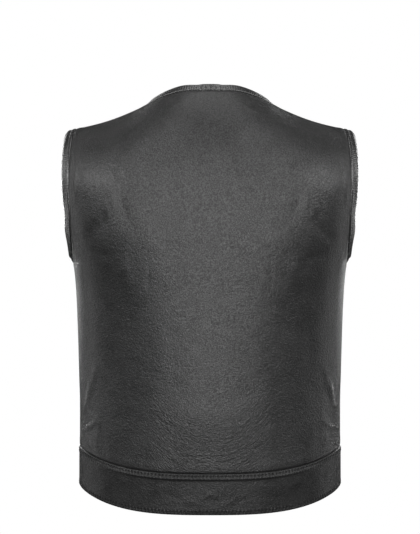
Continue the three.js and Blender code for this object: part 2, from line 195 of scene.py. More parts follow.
BACK = Side(
    sign=1,
    sections=(
        Section(-559, 199, 122, 2.2, 33.5),
        Section(-500, 199, 126, 2.1, 31.5),
        Section(-430, 199, 128, 2.05, 19),
        Section(-340, 201.5, 130, 2.2, 9),
        Section(-270, 204, 132, 2.55, 2),
        Section(-222, 208, 133.5, 3.05, 0),
        Section(-165, 219, 134.5, 3.55, 0),
        Section(-115, 225, 134, 3.6, 0),
    ),
    swells=(
        Swell(96, -175, 60, 44, -14, 2),
        Swell(0, -230, 120, 24, 0, -1.2),
        Swell(148, -330, 110, 26, -7, -2),
        Swell(180, -432, 46, 10, 16, 2.4),
        Swell(160, -470, 30, 10, 24, 1.8),
    ),
    armhole_z=-115, armhole_y=86, neck_z=36.8, neck_y=73, neck_square=2.15, neck_share=0.39,
    tilt=50, corner_tilt=82, rise=0.46, lean=0.5,
)
FRONT = Side(
    sign=-1,
    sections=(
        Section(-559, 199, 131, 2.2, 9),
        Section(-500, 199, 136, 2.2, 9),
        Section(-430, 199, 142, 2.2, 6),
        Section(-340, 201.5, 149, 2.25, 3),
        Section(-270, 204, 153, 2.35, 1),
        Section(-222, 208, 154, 2.7, 0),
        Section(-165, 213, 151, 2.8, 0),
    ),
    swells=(
        Swell(98, -205, 60, 46, 10, 3),
        Swell(176, -430, 54, 11, 14, 2.2),
        Swell(146, -462, 32, 12, 20, 1.8),
        Swell(162, -262, 40, 10, -38, -1.6),
    ),
    armhole_z=-165, armhole_y=84, neck_z=-100, neck_y=132, neck_square=1.95, neck_share=0.37,
    tilt=26, corner_tilt=72, rise=0.42, lean=0.42,
)


class Line:
    """A curve that starts in the vest's middle plane, read by the distance along it."""

    STEPS = 96

    def __init__(self, curve: Callable[[np.ndarray], np.ndarray]) -> None:
        """Measure a curve.

        Args:
            curve: gives the points for places from 0 to 1.
        """
        self.points = curve(np.linspace(0, 1, self.STEPS + 1))
        self.lengths = along(self.points)
        self.length = self.lengths[-1]

    def at(self, places: Iterable[float]) -> np.ndarray:
        """Give the points at some distances; behind its start the curve is its own mirror image."""
        places = np.asarray(list(places))
        found = read(self.points, self.lengths, np.abs(places))
        found[:, 0] *= np.where(places < 0, -1, 1)
        return found


@dataclass(frozen=True)
class Pattern:
    """The vest's driving sizes, and the coarse surfaces that they give.

    Each z is a height and each half a distance from the middle, in millimetres. The yaws and tilts, in
    degrees, and the handles steer the surface over the shoulder. The rows and columns count the coarse grid.
    """

    armpit_z: float = -222
    neck_half: float = 97
    neck_side_z: float = 19
    shoulder_half: float = 205
    shoulder_tip_z: float = -16.5
    shoulder_sag: float = 4.4
    hem_seam_z: float = -500
    hem_z: float = -559
    overlap: float = 14
    underlap_depth: float = 4.6
    underlap_full: float = 18
    underlap_start: float = 46
    drop_curve: float = 1.5
    armhole_square: float = 2.2
    back_neck_level: float = 38
    back_neck_fall: float = 1.4
    front_neck_fall: float = 1.25
    corner_yaw: float = 30
    shoulder_tilt: float = 84
    shoulder_yaw: float = 7
    handle_rise: float = 0.45
    handle_inward: float = 0.25
    easing_passes: int = 5
    neck_columns: int = 7
    shoulder_columns: int = 8
    body_rows: int = 13
    armhole_rows: int = 6
    shoulder_rows: int = 8
    band_rows: int = 3
    swell_fade: float = 45
    swell_end: float = 20

    def section(self, side: Side, z: float, edge_y: float) -> Line:
        """Give a level section of the outer surface, from the middle to its edge."""
        half, depth, square, drop = (side.at(name, z) for name in ("half", "depth", "square", "drop"))
        end = math.acos((edge_y / depth) ** (square / 2))

        def curve(t: np.ndarray) -> np.ndarray:
            """Give the section's points for places from 0 to 1."""
            inward = deep(t * end, square)
            lower = drop * (1 - np.maximum(0, 1 - inward**2) ** self.drop_curve)
            return np.stack([half * across(t * end, square), side.sign * depth * inward, z - lower], axis=-1)

        return Line(curve)

    def neck(self, side: Side) -> Line:
        """Give the neck seam from the middle to the shoulder."""

        def curve(t: np.ndarray) -> np.ndarray:
            """Give the seam's points for places from 0 to 1."""
            angle = t * math.pi / 2
            x = self.neck_half * across(angle, side.neck_square)
            inward = deep(angle, side.neck_square)
            past = np.maximum(0, x - self.back_neck_level) / (self.neck_half - self.back_neck_level)
            if side is BACK:
                z = mix(side.neck_z, self.neck_side_z, past**self.back_neck_fall)
            else:
                z = mix(self.neck_side_z, side.neck_z, inward**self.front_neck_fall)
            return np.stack([x, side.sign * np.maximum(SEAM_GAP / 2, side.neck_y * inward), z], axis=-1)

        return Line(curve)

    def shoulder(self, side: Side) -> Line:
        """Give the shoulder seam from the neck to the armhole."""

        def curve(t: np.ndarray) -> np.ndarray:
            """Give the seam's points for places from 0 to 1."""
            z = mix(self.neck_side_z, self.shoulder_tip_z, t) - self.shoulder_sag * np.sin(math.pi * t)
            x = mix(self.neck_half, self.shoulder_half, t)
            return np.stack([x, np.full_like(t, side.sign * SEAM_GAP / 2), z], axis=-1)

        return Line(curve)

    def places(self, side: Side, to_neck: float, beyond: float) -> list[float]:
        """List how far from the middle the columns stand, on a curve with those two stretches."""
        inner = [0.0] if side is BACK else [-self.overlap, 0.0, self.underlap_full]
        neck = spread(self.neck_columns, inner[-1], to_neck)
        return [*inner, *neck, *spread(self.shoulder_columns, to_neck, to_neck + beyond)]

    def level_row(self, side: Side, z: float, edge_y: float) -> np.ndarray:
        """Give a row of the outer surface at one height of the side or armhole seam."""
        curve = self.section(side, z, edge_y)
        to_neck = side.neck_share * self.section(side, z, SEAM_GAP / 2).length
        return curve.at(self.places(side, to_neck, curve.length - to_neck))

    def top_row(self, side: Side) -> np.ndarray:
        """Give the row along the neck seam and the shoulder seam."""
        neck, shoulder = self.neck(side), self.shoulder(side)
        places = np.array(self.places(side, neck.length, shoulder.length))
        on_neck = places <= neck.length
        return np.vstack([neck.at(places[on_neck]), shoulder.at(places[~on_neck] - neck.length)])

    def over_shoulder(self, side: Side, lower: np.ndarray, upper: np.ndarray) -> list[np.ndarray]:
        """Give the rows between the armhole's widest point and the top edge.

        Args:
            side: the back or the front.
            lower: the row at the armhole's widest point.
            upper: the row along the top edge.

        Returns:
            The rows above the lower one, the upper one last.
        """
        count = len(lower)
        neck_column = count - 1 - self.shoulder_columns
        under_neck = smooth(np.arange(count) / neck_column)
        outside = smooth((np.arange(count) - neck_column) / self.shoulder_columns)
        tilt = mix(side.tilt, side.corner_tilt, under_neck)
        tilt = np.radians(mix(tilt, self.shoulder_tilt, outside))
        yaw = np.radians(mix(self.corner_yaw * under_neck, self.shoulder_yaw, outside))
        rise = upper[:, 2] - lower[:, 2]
        reach = np.abs(lower[:, 1] - upper[:, 1]) * np.sin(tilt) + self.handle_rise * rise * np.cos(tilt)
        keep = lower.copy()
        keep[:, 0] = mix(lower[:, 0], upper[:, 0], self.handle_inward * (1 - outside))
        keep[:, 2] += rise * side.rise
        turn = np.stack([np.sin(yaw), side.sign * np.cos(yaw), -1 / np.tan(tilt)], axis=-1)
        turn = upper + turn * (side.lean * reach * np.sin(tilt))[:, None]
        rows = []
        for t in spread(self.shoulder_rows, 0, 1):
            back = 1 - t
            row = back**3 * lower + 3 * back**2 * t * keep + 3 * back * t**2 * turn + t**3 * upper
            pull = min(0.5, 1 - t, t)
            for _ in range(self.easing_passes):
                row[3:-1] += pull * ((row[2:-2] + row[4:]) / 2 - row[3:-1])
            rows.append(row)
        return rows

    def panel_rows(self, side: Side) -> np.ndarray:
        """Give half of a panel, from the middle to the wearer's left: rows of points, hem seam first."""
        heights = [self.hem_seam_z, *spread(self.body_rows, self.hem_seam_z, self.armpit_z)]
        rows = [self.level_row(side, z, SEAM_GAP / 2) for z in heights]
        for angle in spread(self.armhole_rows, 0, math.pi / 2):
            z = mix(side.armhole_z, self.armpit_z, deep(angle, self.armhole_square))
            rows.append(self.level_row(side, z, side.armhole_y * across(angle, self.armhole_square)))
        return np.array([*rows, *self.over_shoulder(side, rows[-1], self.top_row(side))])

    def hem_rows(self, side: Side) -> np.ndarray:
        """Give half of the hem band, from the middle to the wearer's left, its lower edge first."""
        heights = [self.hem_z, *spread(self.band_rows, self.hem_z, self.hem_seam_z - SEAM_GAP)]
        return np.array([self.level_row(side, z, SEAM_GAP / 2) for z in heights])

    def swell_at(self, side: Side, points: np.ndarray) -> np.ndarray:
        """Give how far the surface stands out at some points, from its largest folds."""
        z = points[..., 2]
        fade = smooth((z - self.hem_seam_z + self.swell_end) / self.swell_fade) * smooth(-z / self.swell_fade)
        total = np.zeros_like(z)
        for s in side.swells:
            cos, sin = math.cos(math.radians(s.lean)), math.sin(math.radians(s.lean))
            dx, dz = np.abs(points[..., 0]) - s.x, z - s.z
            off, up = (dx * cos - dz * sin) / s.across, (dx * sin + dz * cos) / s.along
            total += s.out * np.exp(-(off**2 + up**2))
        return total * fade

    def coarse(self, cut: Cut, is_panel: bool, proud: float) -> np.ndarray:
        """Give the coarse outer surface of a panel or of its hem band.

        Args:
            cut: which panel.
            is_panel: the panel itself, and not its hem band.
            proud: how far it stands out.

        Returns:
            The points, as rows from the wearer's right edge to the left one, the lowest row first.
        """
        side = BACK if cut is Cut.BACK else FRONT
        rows = self.panel_rows(side) if is_panel else self.hem_rows(side)
        out = np.full(rows.shape[:2], float(proud))
        if is_panel:
            out += self.swell_at(side, rows)
        if cut is Cut.RIGHT:
            under = (self.underlap_start - rows[..., 0]) / (self.underlap_start - self.underlap_full)
            out -= self.underlap_depth * smooth(under)
        outer = rows + normals_of(rows, side.sign) * out[..., None]
        mirrored = outer[:, ::-1] * np.array([-1, 1, 1])
        if cut is Cut.BACK:
            return np.concatenate([mirrored[:, :-1], outer], axis=1)
        return outer if cut is Cut.LEFT else mirrored


def normals_of(grid: np.ndarray, sign: int) -> np.ndarray:
    """Give the outward direction at each point of a grid.

    Along the side and shoulder seams, which lie in the plane between back and front, it stays in that
    plane, so that two walls end face to face there.

    Args:
        grid: rows of points, the lowest row first and each row towards the wearer's left.
        sign: 1 for the back and -1 for a front.

    Returns:
        The directions, each of length one.
    """
    right = np.empty_like(grid)
    right[:, 1:-1] = grid[:, 2:] - grid[:, :-2]
    right[:, 0], right[:, -1] = grid[:, 1] - grid[:, 0], grid[:, -1] - grid[:, -2]
    up = np.empty_like(grid)
    up[1:-1] = grid[2:] - grid[:-2]
    up[0], up[-1] = grid[1] - grid[0], grid[-1] - grid[-2]
    normals = np.cross(right, up) * -sign
    normals[on_seam_of(grid), 1] = 0
    return unit(normals)


def on_seam_of(grid: np.ndarray) -> np.ndarray:
    """Tell which points of a grid lie on a side or shoulder seam."""
    on_seam = np.abs(grid[..., 1]) < SEAM_GAP
    on_seam[1:-1, 1:-1] = False
    return on_seam


def eased(grid: np.ndarray, passes: int) -> np.ndarray:
    """Even out a fine grid inside its border, as leather does that can't hold a sharp bend."""
    grid = grid.copy()
    for _ in range(passes):
        around = grid[2:, 1:-1] + grid[:-2, 1:-1] + grid[1:-1, 2:] + grid[1:-1, :-2]
        grid[1:-1, 1:-1] = around / 4
    return grid


def even_normals(grid: np.ndarray, sign: int, on_seam: np.ndarray) -> np.ndarray:
    """Give the outward directions of a fine grid, trusting a point less where its cells are slivers.

    Args:
        grid: rows of points.
        sign: 1 for the back and -1 for a front.
        on_seam: which points lie on a side or shoulder seam.

    Returns:
        The directions, each of length one.
    """
    right, up = unit(np.gradient(grid, axis=1)), unit(np.gradient(grid, axis=0))
    normals = np.cross(right, up) * -sign
    trust = (normals**2).sum(-1, keepdims=True)
    margin = (NORMALS_REACH, NORMALS_REACH)
    padded = np.pad(unit(normals) * trust, (margin, margin, (0, 0)), mode="edge")
    for axis in (0, 1):
        padded = np.apply_along_axis(np.convolve, axis, padded, bell(NORMALS_REACH), mode="valid")
    padded[on_seam, 1] = 0
    return unit(padded)


def spline(knots: np.ndarray, values: np.ndarray, places: np.ndarray) -> np.ndarray:
    """Read a cubic spline through some points.

    Args:
        knots: the distance of each point along the curve.
        values: the points.
        places: the distances at which to read it.

    Returns:
        The points there.
    """
    n = len(knots)
    h = np.diff(knots)
    matrix = np.zeros((n, n))
    wanted = np.zeros_like(values)
    matrix[0, :2], matrix[-1, -2:] = (1, -1), (1, -1)
    for i in range(1, n - 1):
        matrix[i, i - 1 : i + 2] = h[i - 1], 2 * (h[i - 1] + h[i]), h[i]
        wanted[i] = 6 * ((values[i + 1] - values[i]) / h[i] - (values[i] - values[i - 1]) / h[i - 1])
    bends = np.linalg.solve(matrix, wanted)
    i = np.clip(np.searchsorted(knots, places, side="right") - 1, 0, n - 2)
    a, b, span = (knots[i + 1] - places)[:, None], (places - knots[i])[:, None], h[i][:, None]
    straight = (values[i] * a + values[i + 1] * b) / span
    return straight + (bends[i] * (a**3 / span - a * span) + bends[i + 1] * (b**3 / span - b * span)) / 6


@dataclass(frozen=True)
class Corners:
    """Where the rows of a grid turn a corner: at which columns, and how sharply in each row, from 0 to 1."""

    columns: tuple[int, ...]
    sharp: np.ndarray


def refined(
    grid: np.ndarray, steps: np.ndarray, multiple: int, corners: Corners
) -> tuple[np.ndarray, np.ndarray]:
    """Fill each row of a coarse grid with more points, on a spline through its own.

    Args:
        grid: rows of points.
        steps: about how far apart the new points stand between one column and the next.
        multiple: the number of steps between two old points is a multiple of this.
        corners: where the rows turn a corner.

    Returns:
        The grid with the same rows and more columns, and the new number of each old column.
    """
    knots = np.array([along(row) for row in grid])
    widest = np.diff(knots, axis=1).max(axis=0)
    counts = multiple * np.maximum(1, np.round(widest / steps / multiple)).astype(int)
    marks = np.concatenate([[0], np.cumsum(counts)])
    stops = [0, *corners.columns, grid.shape[1] - 1]
    rows = []
    for k, row, sharp in zip(knots, grid, corners.sharp):
        places = [k[i] + (k[i + 1] - k[i]) * np.arange(n) / n for i, n in enumerate(counts)]
        places = np.concatenate([*places, k[-1:]])
        filled = spline(k, row, places)
        for a, b in zip(stops[:-1], stops[1:]) if sharp else ():
            here = slice(marks[a], marks[b] + 1)
            filled[here] = mix(filled[here], spline(k[a : b + 1], row[a : b + 1], places[here]), sharp)
        rows.append(filled)
    return np.array(rows), marks


@dataclass(frozen=True)
class Lip:
    """How leather runs out to a sewn edge: drawn in at the seam, lifted behind it by the turned allowance.

    Further from the vest's middle than flat_from, flat_share is what is left of the lift. Further than
    deep_from, the seam is drawn in deep_share times as deep.
    """

    depth: float
    width: float
    lift: float
    lift_at: float
    lift_width: float
    flat_from: float = 100
    flat_over: float = 50
    flat_share: float = 1.0
    deep_from: float = 42
    deep_over: float = 16
    deep_share: float = 1.0

    def height(self, distance: np.ndarray, off: np.ndarray) -> np.ndarray:
        """Give how far the leather stands out at some distances from the edge.

        Args:
            distance: the distances.
            off: how far each place lies from the vest's middle, where the lip may lie flatter or deeper.

        Returns:
            The heights.
        """
        lifted = mix(1.0, self.flat_share, smooth((off - self.flat_from) / self.flat_over))
        depth = self.depth * mix(1.0, self.deep_share, smooth((off - self.deep_from) / self.deep_over))
        pulled = depth * np.exp(-((distance / self.width) ** 2))
        return lifted * self.lift * np.exp(-(((distance - self.lift_at) / self.lift_width) ** 2)) - pulled


@dataclass(frozen=True)
class Crease:
    """A soft crease, as seen square on: its two ends, how far its middle bows up, its width and height."""

    x0: float
    z0: float
    x1: float
    z1: float
    bow: float
    width: float
    out: float

    UNEVEN = 0.08

    def path(self, count: int) -> np.ndarray:
        """Give places (x, z) along the crease."""
        t = np.linspace(0, 1, count)
        x, z = mix(self.x0, self.x1, t), mix(self.z0, self.z1, t)
        length = max(1e-6, math.hypot(self.x1 - self.x0, self.z1 - self.z0))
        arch = self.bow * 4 * t * (1 - t) / length
        return np.stack([x - (self.z1 - self.z0) * arch, z + (self.x1 - self.x0) * arch], axis=-1)

    def mirrored(self, rng: np.random.Generator, shift: float) -> "Crease":
        """Give the like crease on the other side, a little uneven."""
        dx, dz = rng.normal(0, shift, 2)
        grown = rng.normal(1, self.UNEVEN)
        return Crease(
            -self.x0 + dx, self.z0 + dz, -self.x1 + dx, self.z1 + dz, -self.bow, self.width, self.out * grown
        )


@dataclass(frozen=True)
class Fan:
    """Many fine wrinkles that lie along arcs above the hem, fading out upwards and outwards.

    An arc rises by curve times the distance from the middle, raised to power. Each CROWDING pair shapes the
    beta distribution that scatters the wrinkles, and RAISED is the share of them that are ridges.
    """

    count: int
    low: float
    high: float
    reach: float
    curve: float = 0.00255
    power: float = 2.2
    lengths: tuple[float, float] = (5, 16)
    widths: tuple[float, float] = (1.0, 1.7)
    outs: tuple[float, float] = (0.10, 0.28)

    CROWDING_ACROSS = (2.2, 2.0)
    CROWDING_UP = (1.1, 2.2)
    LENGTHS_INSIDE, LENGTHS_OUTSIDE = 1.15, 0.75
    LEAST_OFF = 0.5
    PAST_TOP, TOP_FADE = 62, 60
    PAST_SIDE, SIDE_FADE = 12, 30
    RAISED = 0.6
    BOW = -0.03
    SHIFT = 2.5

    def creases(self, rng: np.random.Generator) -> list[Crease]:
        """Scatter the wrinkles, mirrored a little unevenly.

        Args:
            rng: where their places come from.

        Returns:
            The wrinkles of both sides.
        """
        made = []
        for _ in range(self.count):
            x = self.reach * rng.beta(*self.CROWDING_ACROSS)
            level = mix(self.low, self.high, rng.beta(*self.CROWDING_UP))
            shrunk = mix(self.LENGTHS_INSIDE, self.LENGTHS_OUTSIDE, x / self.reach)
            length = rng.uniform(*self.lengths) * shrunk
            start, end = max(self.LEAST_OFF, x - length / 2), x + length / 2
            z0, z1 = (level + self.curve * place**self.power for place in (start, end))
            faded = smooth((self.high + self.PAST_TOP - max(z0, z1)) / self.TOP_FADE)
            faded = faded * smooth((self.reach + self.PAST_SIDE - end) / self.SIDE_FADE)
            up_or_down = rng.uniform(*self.outs) * rng.choice([1, -1], p=[self.RAISED, 1 - self.RAISED])
            width = rng.uniform(*self.widths)
            crease = Crease(start, z0, end, z1, self.BOW * length, width, up_or_down * faded)
            made += [crease, crease.mirrored(rng, self.SHIFT)]
        return made


class Surface:
    """A fine grid of points of one piece, in millimetres, and the relief on it.

    height is how far the whole wall stands out in creases, and grain how far its outer side alone does, at
    lips and stitches. A crease that runs further than FAR past the grid isn't this piece's and is left out.
    """

    EASING = 60
    FAR = 12
    PORTION = 3000
    REACH = 3
    CREASE_STEP = 1.5
    LEAST_STEPS = 8
    TAPER = 0.8
    TAPER_ENDS = (0.02, 0.98)

    def __init__(
        self, coarse: np.ndarray, sign: int, steps: tuple, multiple: int, corners: tuple[Corners, Corners]
    ) -> None:
        """Refine a coarse grid.

        Args:
            coarse: rows of points.
            sign: 1 for the back and -1 for a front.
            steps: about how far apart the points stand along a row and between rows, each cell by cell.
            multiple: each coarse cell is cut into a multiple of this many columns and rows.
            corners: where the rows and where the columns turn a corner.
        """
        wide, self.columns = refined(coarse, steps[0], multiple, corners[0])
        sharp = np.interp(np.arange(wide.shape[1]), self.columns, corners[1].sharp)
        downwards = Corners(corners[1].columns, sharp)
        tall, self.rows = refined(wide.transpose(1, 0, 2), steps[1], multiple, downwards)
        self.points = eased(tall.transpose(1, 0, 2), self.EASING)
        on_seam = on_seam_of(self.points)
        self.points[on_seam, 1] = 0
        self.sign = sign
        self.normals = even_normals(self.points, sign, on_seam)
        self.height = np.zeros(self.points.shape[:2])
        self.grain = np.zeros(self.points.shape[:2])
        seen = self.points[..., 0::2].reshape(-1, 2)
        self._tree = KDTree(len(seen))
        for i, (x, z) in enumerate(seen):
            self._tree.insert((x, z, 0), i)
        self._tree.balance()

    def nearest(self, x: float, z: float) -> np.ndarray:
        """Give the grid's point that is seen at (x, z), square on."""
        return self.points.reshape(-1, 3)[self._tree.find((x, z, 0))[1]]

    def near(self, line: np.ndarray, reach: float) -> Iterator[tuple[np.ndarray, np.ndarray]]:
        """Find the grid's points in the box round a line, a portion at a time.

        Args:
            line: the line's points.
            reach: how much larger the box is than the line.

        Yields:
            The numbers of some of the grid's points, and their distances from each point of the line.
        """
        flat = self.points.reshape(-1, 3)
        numbers = np.flatnonzero(np.all((flat > line.min(0) - reach) & (flat < line.max(0) + reach), axis=1))
        for part in np.array_split(numbers, max(1, len(numbers) // self.PORTION)):
            yield part, np.linalg.norm(flat[part, None] - line[None], axis=2)

    def add_lip(self, edge: np.ndarray, lip: Lip) -> None:
        """Shape the leather along a sewn edge."""
        off = np.abs(self.points[..., 0]).reshape(-1)
        for part, gaps in self.near(edge, lip.lift_at + self.REACH * (lip.lift_width + lip.width)):
            self.grain.reshape(-1)[part] += lip.height(gaps.min(axis=1), off[part])

    def add_crease(self, crease: Crease) -> None:
        """Raise or sink a crease."""
        length = math.hypot(crease.x1 - crease.x0, crease.z1 - crease.z0)
        count = max(self.LEAST_STEPS, int(length / self.CREASE_STEP))
        path = crease.path(count)
        line = np.array([self.nearest(x, z) for x, z in path])
        if np.abs(line[:, ::2] - path).max() > self.FAR:
            return
        for part, gaps in self.near(line, self.REACH * crease.width):
            share = gaps.argmin(axis=1) / (count - 1)
            taper = np.sin(math.pi * np.clip(share, *self.TAPER_ENDS)) ** self.TAPER
            profile = np.exp(-((gaps.min(axis=1) / crease.width) ** 2))
            self.height.reshape(-1)[part] += crease.out * taper * profile

    def add_stitching(self, line: np.ndarray, thread: "Thread") -> None:
        """Sink the trough of a row of stitches, with the puckers between them."""
        for part, gaps in self.near(line, self.REACH * thread.pucker_width):
            self.grain.reshape(-1)[part] += thread.relief(gaps.min(axis=1), gaps.argmin(axis=1))

    def outer(self, wall: float) -> np.ndarray:
        """Give the finished outer points of a wall of some thickness."""
        pressed = np.maximum(self.grain, LEAST_WALL - wall)
        return self.points + self.normals * (self.height + pressed)[..., None]


def build_mesh(name: str, points: np.ndarray, faces: list, flip: bool = False) -> bpy.types.Object:
    """Make a mesh object from points in millimetres.

    Args:
        name: the piece's name.
        points: the vertices.
        faces: lists of vertex numbers.
        flip: turn every face round.

    Returns:
        The object, at the origin.
    """
    mesh = bpy.data.meshes.new(name)
    mesh.from_pydata((points * MM).tolist(), [], [f[::-1] for f in faces] if flip else faces)
    mesh.validate()
    mesh.shade_smooth()
    piece = bpy.data.objects.new(name, mesh)
    bpy.context.scene.collection.objects.link(piece)
    return piece


def grid_faces(rows: int, columns: int, first: int) -> np.ndarray:
    """Number the quads of a grid whose first vertex has the given number."""
    r, c = np.meshgrid(np.arange(rows - 1), np.arange(columns - 1), indexing="ij")
    a = first + r * columns + c
    return np.stack([a, a + 1, a + columns + 1, a + columns], axis=-1).reshape(-1, 4)


def rim_of(rows: int, columns: int) -> list[int]:
    """Number the vertices round a grid's rim in order."""
    numbers = list(range(columns - 1))
    numbers += [r * columns + columns - 1 for r in range(rows - 1)]
    numbers += [rows * columns - 1 - c for c in range(columns - 1)]
    return numbers + [(rows - 1 - r) * columns for r in range(rows - 1)]


def signed_volume(points: np.ndarray, faces: list) -> float:
    """Give six times the volume that some faces enclose, above 0 where they face out."""
    total = 0.0
    for f in faces:
        a = points[f[0]]
        for i in range(1, len(f) - 1):
            total += float(a @ np.cross(points[f[i]], points[f[i + 1]]))
    return total


def shell(name: str, surface: Surface, wall: float, coarser: int) -> bpy.types.Object:
    """Make a closed wall of leather: a fine grain side, and a coarser flesh side behind it.

    Args:
        name: the piece's name.
        surface: the grain side.
        wall: the leather's thickness.
        coarser: how many fine cells a cell of the flesh side spans.

    Returns:
        The piece; the faces of its flesh side and rim have material index 1.
    """
    outer = surface.outer(wall)
    rows, columns = outer.shape[:2]
    inner = (surface.points + surface.normals * (surface.height[..., None] - wall))[::coarser, ::coarser]
    first = rows * columns
    fine = grid_faces(rows, columns, 0)
    plain = grid_faces(*inner.shape[:2], first)[:, ::-1]
    round_outer = rim_of(rows, columns)
    round_inner = [first + i for i in rim_of(*inner.shape[:2])]
    rim = []
    for i, a in enumerate(round_inner):
        b = round_inner[(i + 1) % len(round_inner)]
        span = [round_outer[(i * coarser + k) % len(round_outer)] for k in range(coarser + 1)]
        rim.append([a, b, *span[::-1]])
    points = np.concatenate([outer.reshape(-1, 3), inner.reshape(-1, 3)])
    faces = [*fine.tolist(), *plain.tolist(), *rim]
    piece = build_mesh(name, points, faces, flip=surface.sign > 0)
    index = np.zeros(len(faces), np.int32)
    index[len(fine) :] = 1
    piece.data.polygons.foreach_set("material_index", index)
    return piece


@dataclass(frozen=True)
class Thread:
    """A row of machine stitches, in millimetres.

    length is how much shows of each stitch and pitch how far it is to the next. The leather sinks by trough
    along the row, and falls and rises by pucker at and between the stitches. sides and rings shape a stitch,
    and points is how many points of a seam line one stitch takes.
    """

    pitch: float = 5.3
    length: float = 3.5
    thick: float = 0.75
    trough: float = 0.9
    trough_width: float = 1.0
    pucker: float = 1.0
    pucker_width: float = 2.8
    sides: int = 6
    rings: int = 5
    points: int = 6

    DIVE = 1.6
    PROUD = 0.3

    @property
    def depth(self) -> float:
        """Give how far under the plain leather the thread's middle lies."""
        return self.trough - self.thick * self.PROUD

    def relief(self, distance: np.ndarray, place: np.ndarray) -> np.ndarray:
        """Give how far leather stands out near the row.

        Args:
            distance: how far from the row.
            place: how many of the row's points lie before.

        Returns:
            The heights.
        """
        sunk = self.trough * np.exp(-((distance / self.trough_width) ** 2))
        wave = np.cos(2 * math.pi * place / self.points) * np.exp(-((distance / self.pucker_width) ** 2))
        return self.pucker * wave - sunk

    def one(self) -> tuple[np.ndarray, list[list[int]]]:
        """Model one stitch, lying along X with its ends bent down into the leather.

        Returns:
            Its vertices in millimetres and its faces.
        """
        bpy.ops.object.select_all(action="DESELECT")
        bpy.ops.mesh.primitive_uv_sphere_add(segments=self.sides, ring_count=self.rings, radius=0.5)
        stitch = bpy.context.object
        bpy.ops.object.mode_set(mode="EDIT")
        bpy.ops.mesh.select_all(action="SELECT")
        quarter = math.pi / 2
        bpy.ops.transform.rotate(value=quarter, orient_axis="Y", center_override=(0, 0, 0))
        bpy.ops.transform.resize(value=(self.length, self.thick, self.thick), center_override=(0, 0, 0))
        bpy.ops.object.mode_set(mode="OBJECT")
        points = np.array([v.co for v in stitch.data.vertices])
        points[:, 2] -= self.thick * self.DIVE * (points[:, 0] / self.length) ** 2
        mesh = stitch.data
        faces = [list(f.vertices) for f in mesh.polygons]
        bpy.data.objects.remove(stitch)
        bpy.data.meshes.remove(mesh)
        return points, faces

    def lay(self, name: str, rows: list[tuple[np.ndarray, np.ndarray]]) -> bpy.types.Object:
        """Sew rows of stitches.

        Args:
            name: the piece's name.
            rows: for each row the line of its holes, so many points to a stitch, and the outward directions.

        Returns:
            All the stitches as one piece.
        """
        shape, faces = self.one()
        points, sewn = [], []
        for line, normals in rows:
            lengths = along(line)
            count = (len(line) - 1) // self.points
            places = lengths[self.points // 2 :: self.points][:count]
            ends = [places - self.length / 2, places + self.length / 2]
            start, end = (read(line, lengths, e) for e in ends)
            up = unit(read(normals, lengths, places))
            run = unit(end - start)
            side = unit(np.cross(up, run))
            up = np.cross(run, side)
            middle = (start + end) / 2
            for m, r, s, u in zip(middle, run, side, up):
                first = sum(map(len, points))
                points.append(m + shape @ np.array([r, s, u]))
                sewn += [[first + i for i in f] for f in faces]
        return build_mesh(name, np.concatenate(points), sewn)


@dataclass(frozen=True)
class Swag:
    """The finest wrinkles above the hem: a bump that hangs in arcs, each as a rise of curve times x to power.

    It is full at high and gone at low, and it ends at reach from the middle, where it fades over edge.
    length, spacing and depth are the wrinkles' own, and crumple is the size of the folds that break them up.
    """

    low: float = -420
    high: float = -478
    reach: float = 98
    edge: float = 34
    curve: float = 0.00255
    power: float = 2.2
    length: float = 6
    spacing: float = 2.2
    crumple: float = 2.4
    crumple_share: float = 0.5
    depth: float = 1.6

    def bump(self, tree: "NodeTree", under: Socket) -> Socket:
        """Raise the wrinkles on another bump."""
        parts = tree.add("ShaderNodeSeparateXYZ", {"Vector": tree.place})
        x = tree.math("MULTIPLY", parts.outputs["X"], 1 / MM)
        z = tree.math("MULTIPLY", parts.outputs["Z"], 1 / MM)
        off = tree.math("ABSOLUTE", x)
        arc = tree.math("MULTIPLY", tree.math("POWER", off, self.power), self.curve)
        level = tree.math("SUBTRACT", z, arc)
        sizes = {"X": tree.math("DIVIDE", x, self.length), "Z": tree.math("DIVIDE", level, self.spacing)}
        along_it = tree.add("ShaderNodeCombineXYZ", sizes).outputs["Vector"]
        crumple = tree.noise(scale=1 / (self.crumple * MM), detail=2, roughness=0.6)
        hung = tree.noise(scale=1, detail=2.5, roughness=0.55, place=along_it)
        wrinkles = tree.math("ADD", hung, tree.math("MULTIPLY", crumple, self.crumple_share))
        lowered = tree.fade(level, self.low, self.high)
        inside = tree.fade(off, self.reach, self.reach - self.edge)
        masked = tree.math("MULTIPLY", tree.math("MULTIPLY", wrinkles, lowered), inside)
        return tree.bump(masked, self.depth, under)


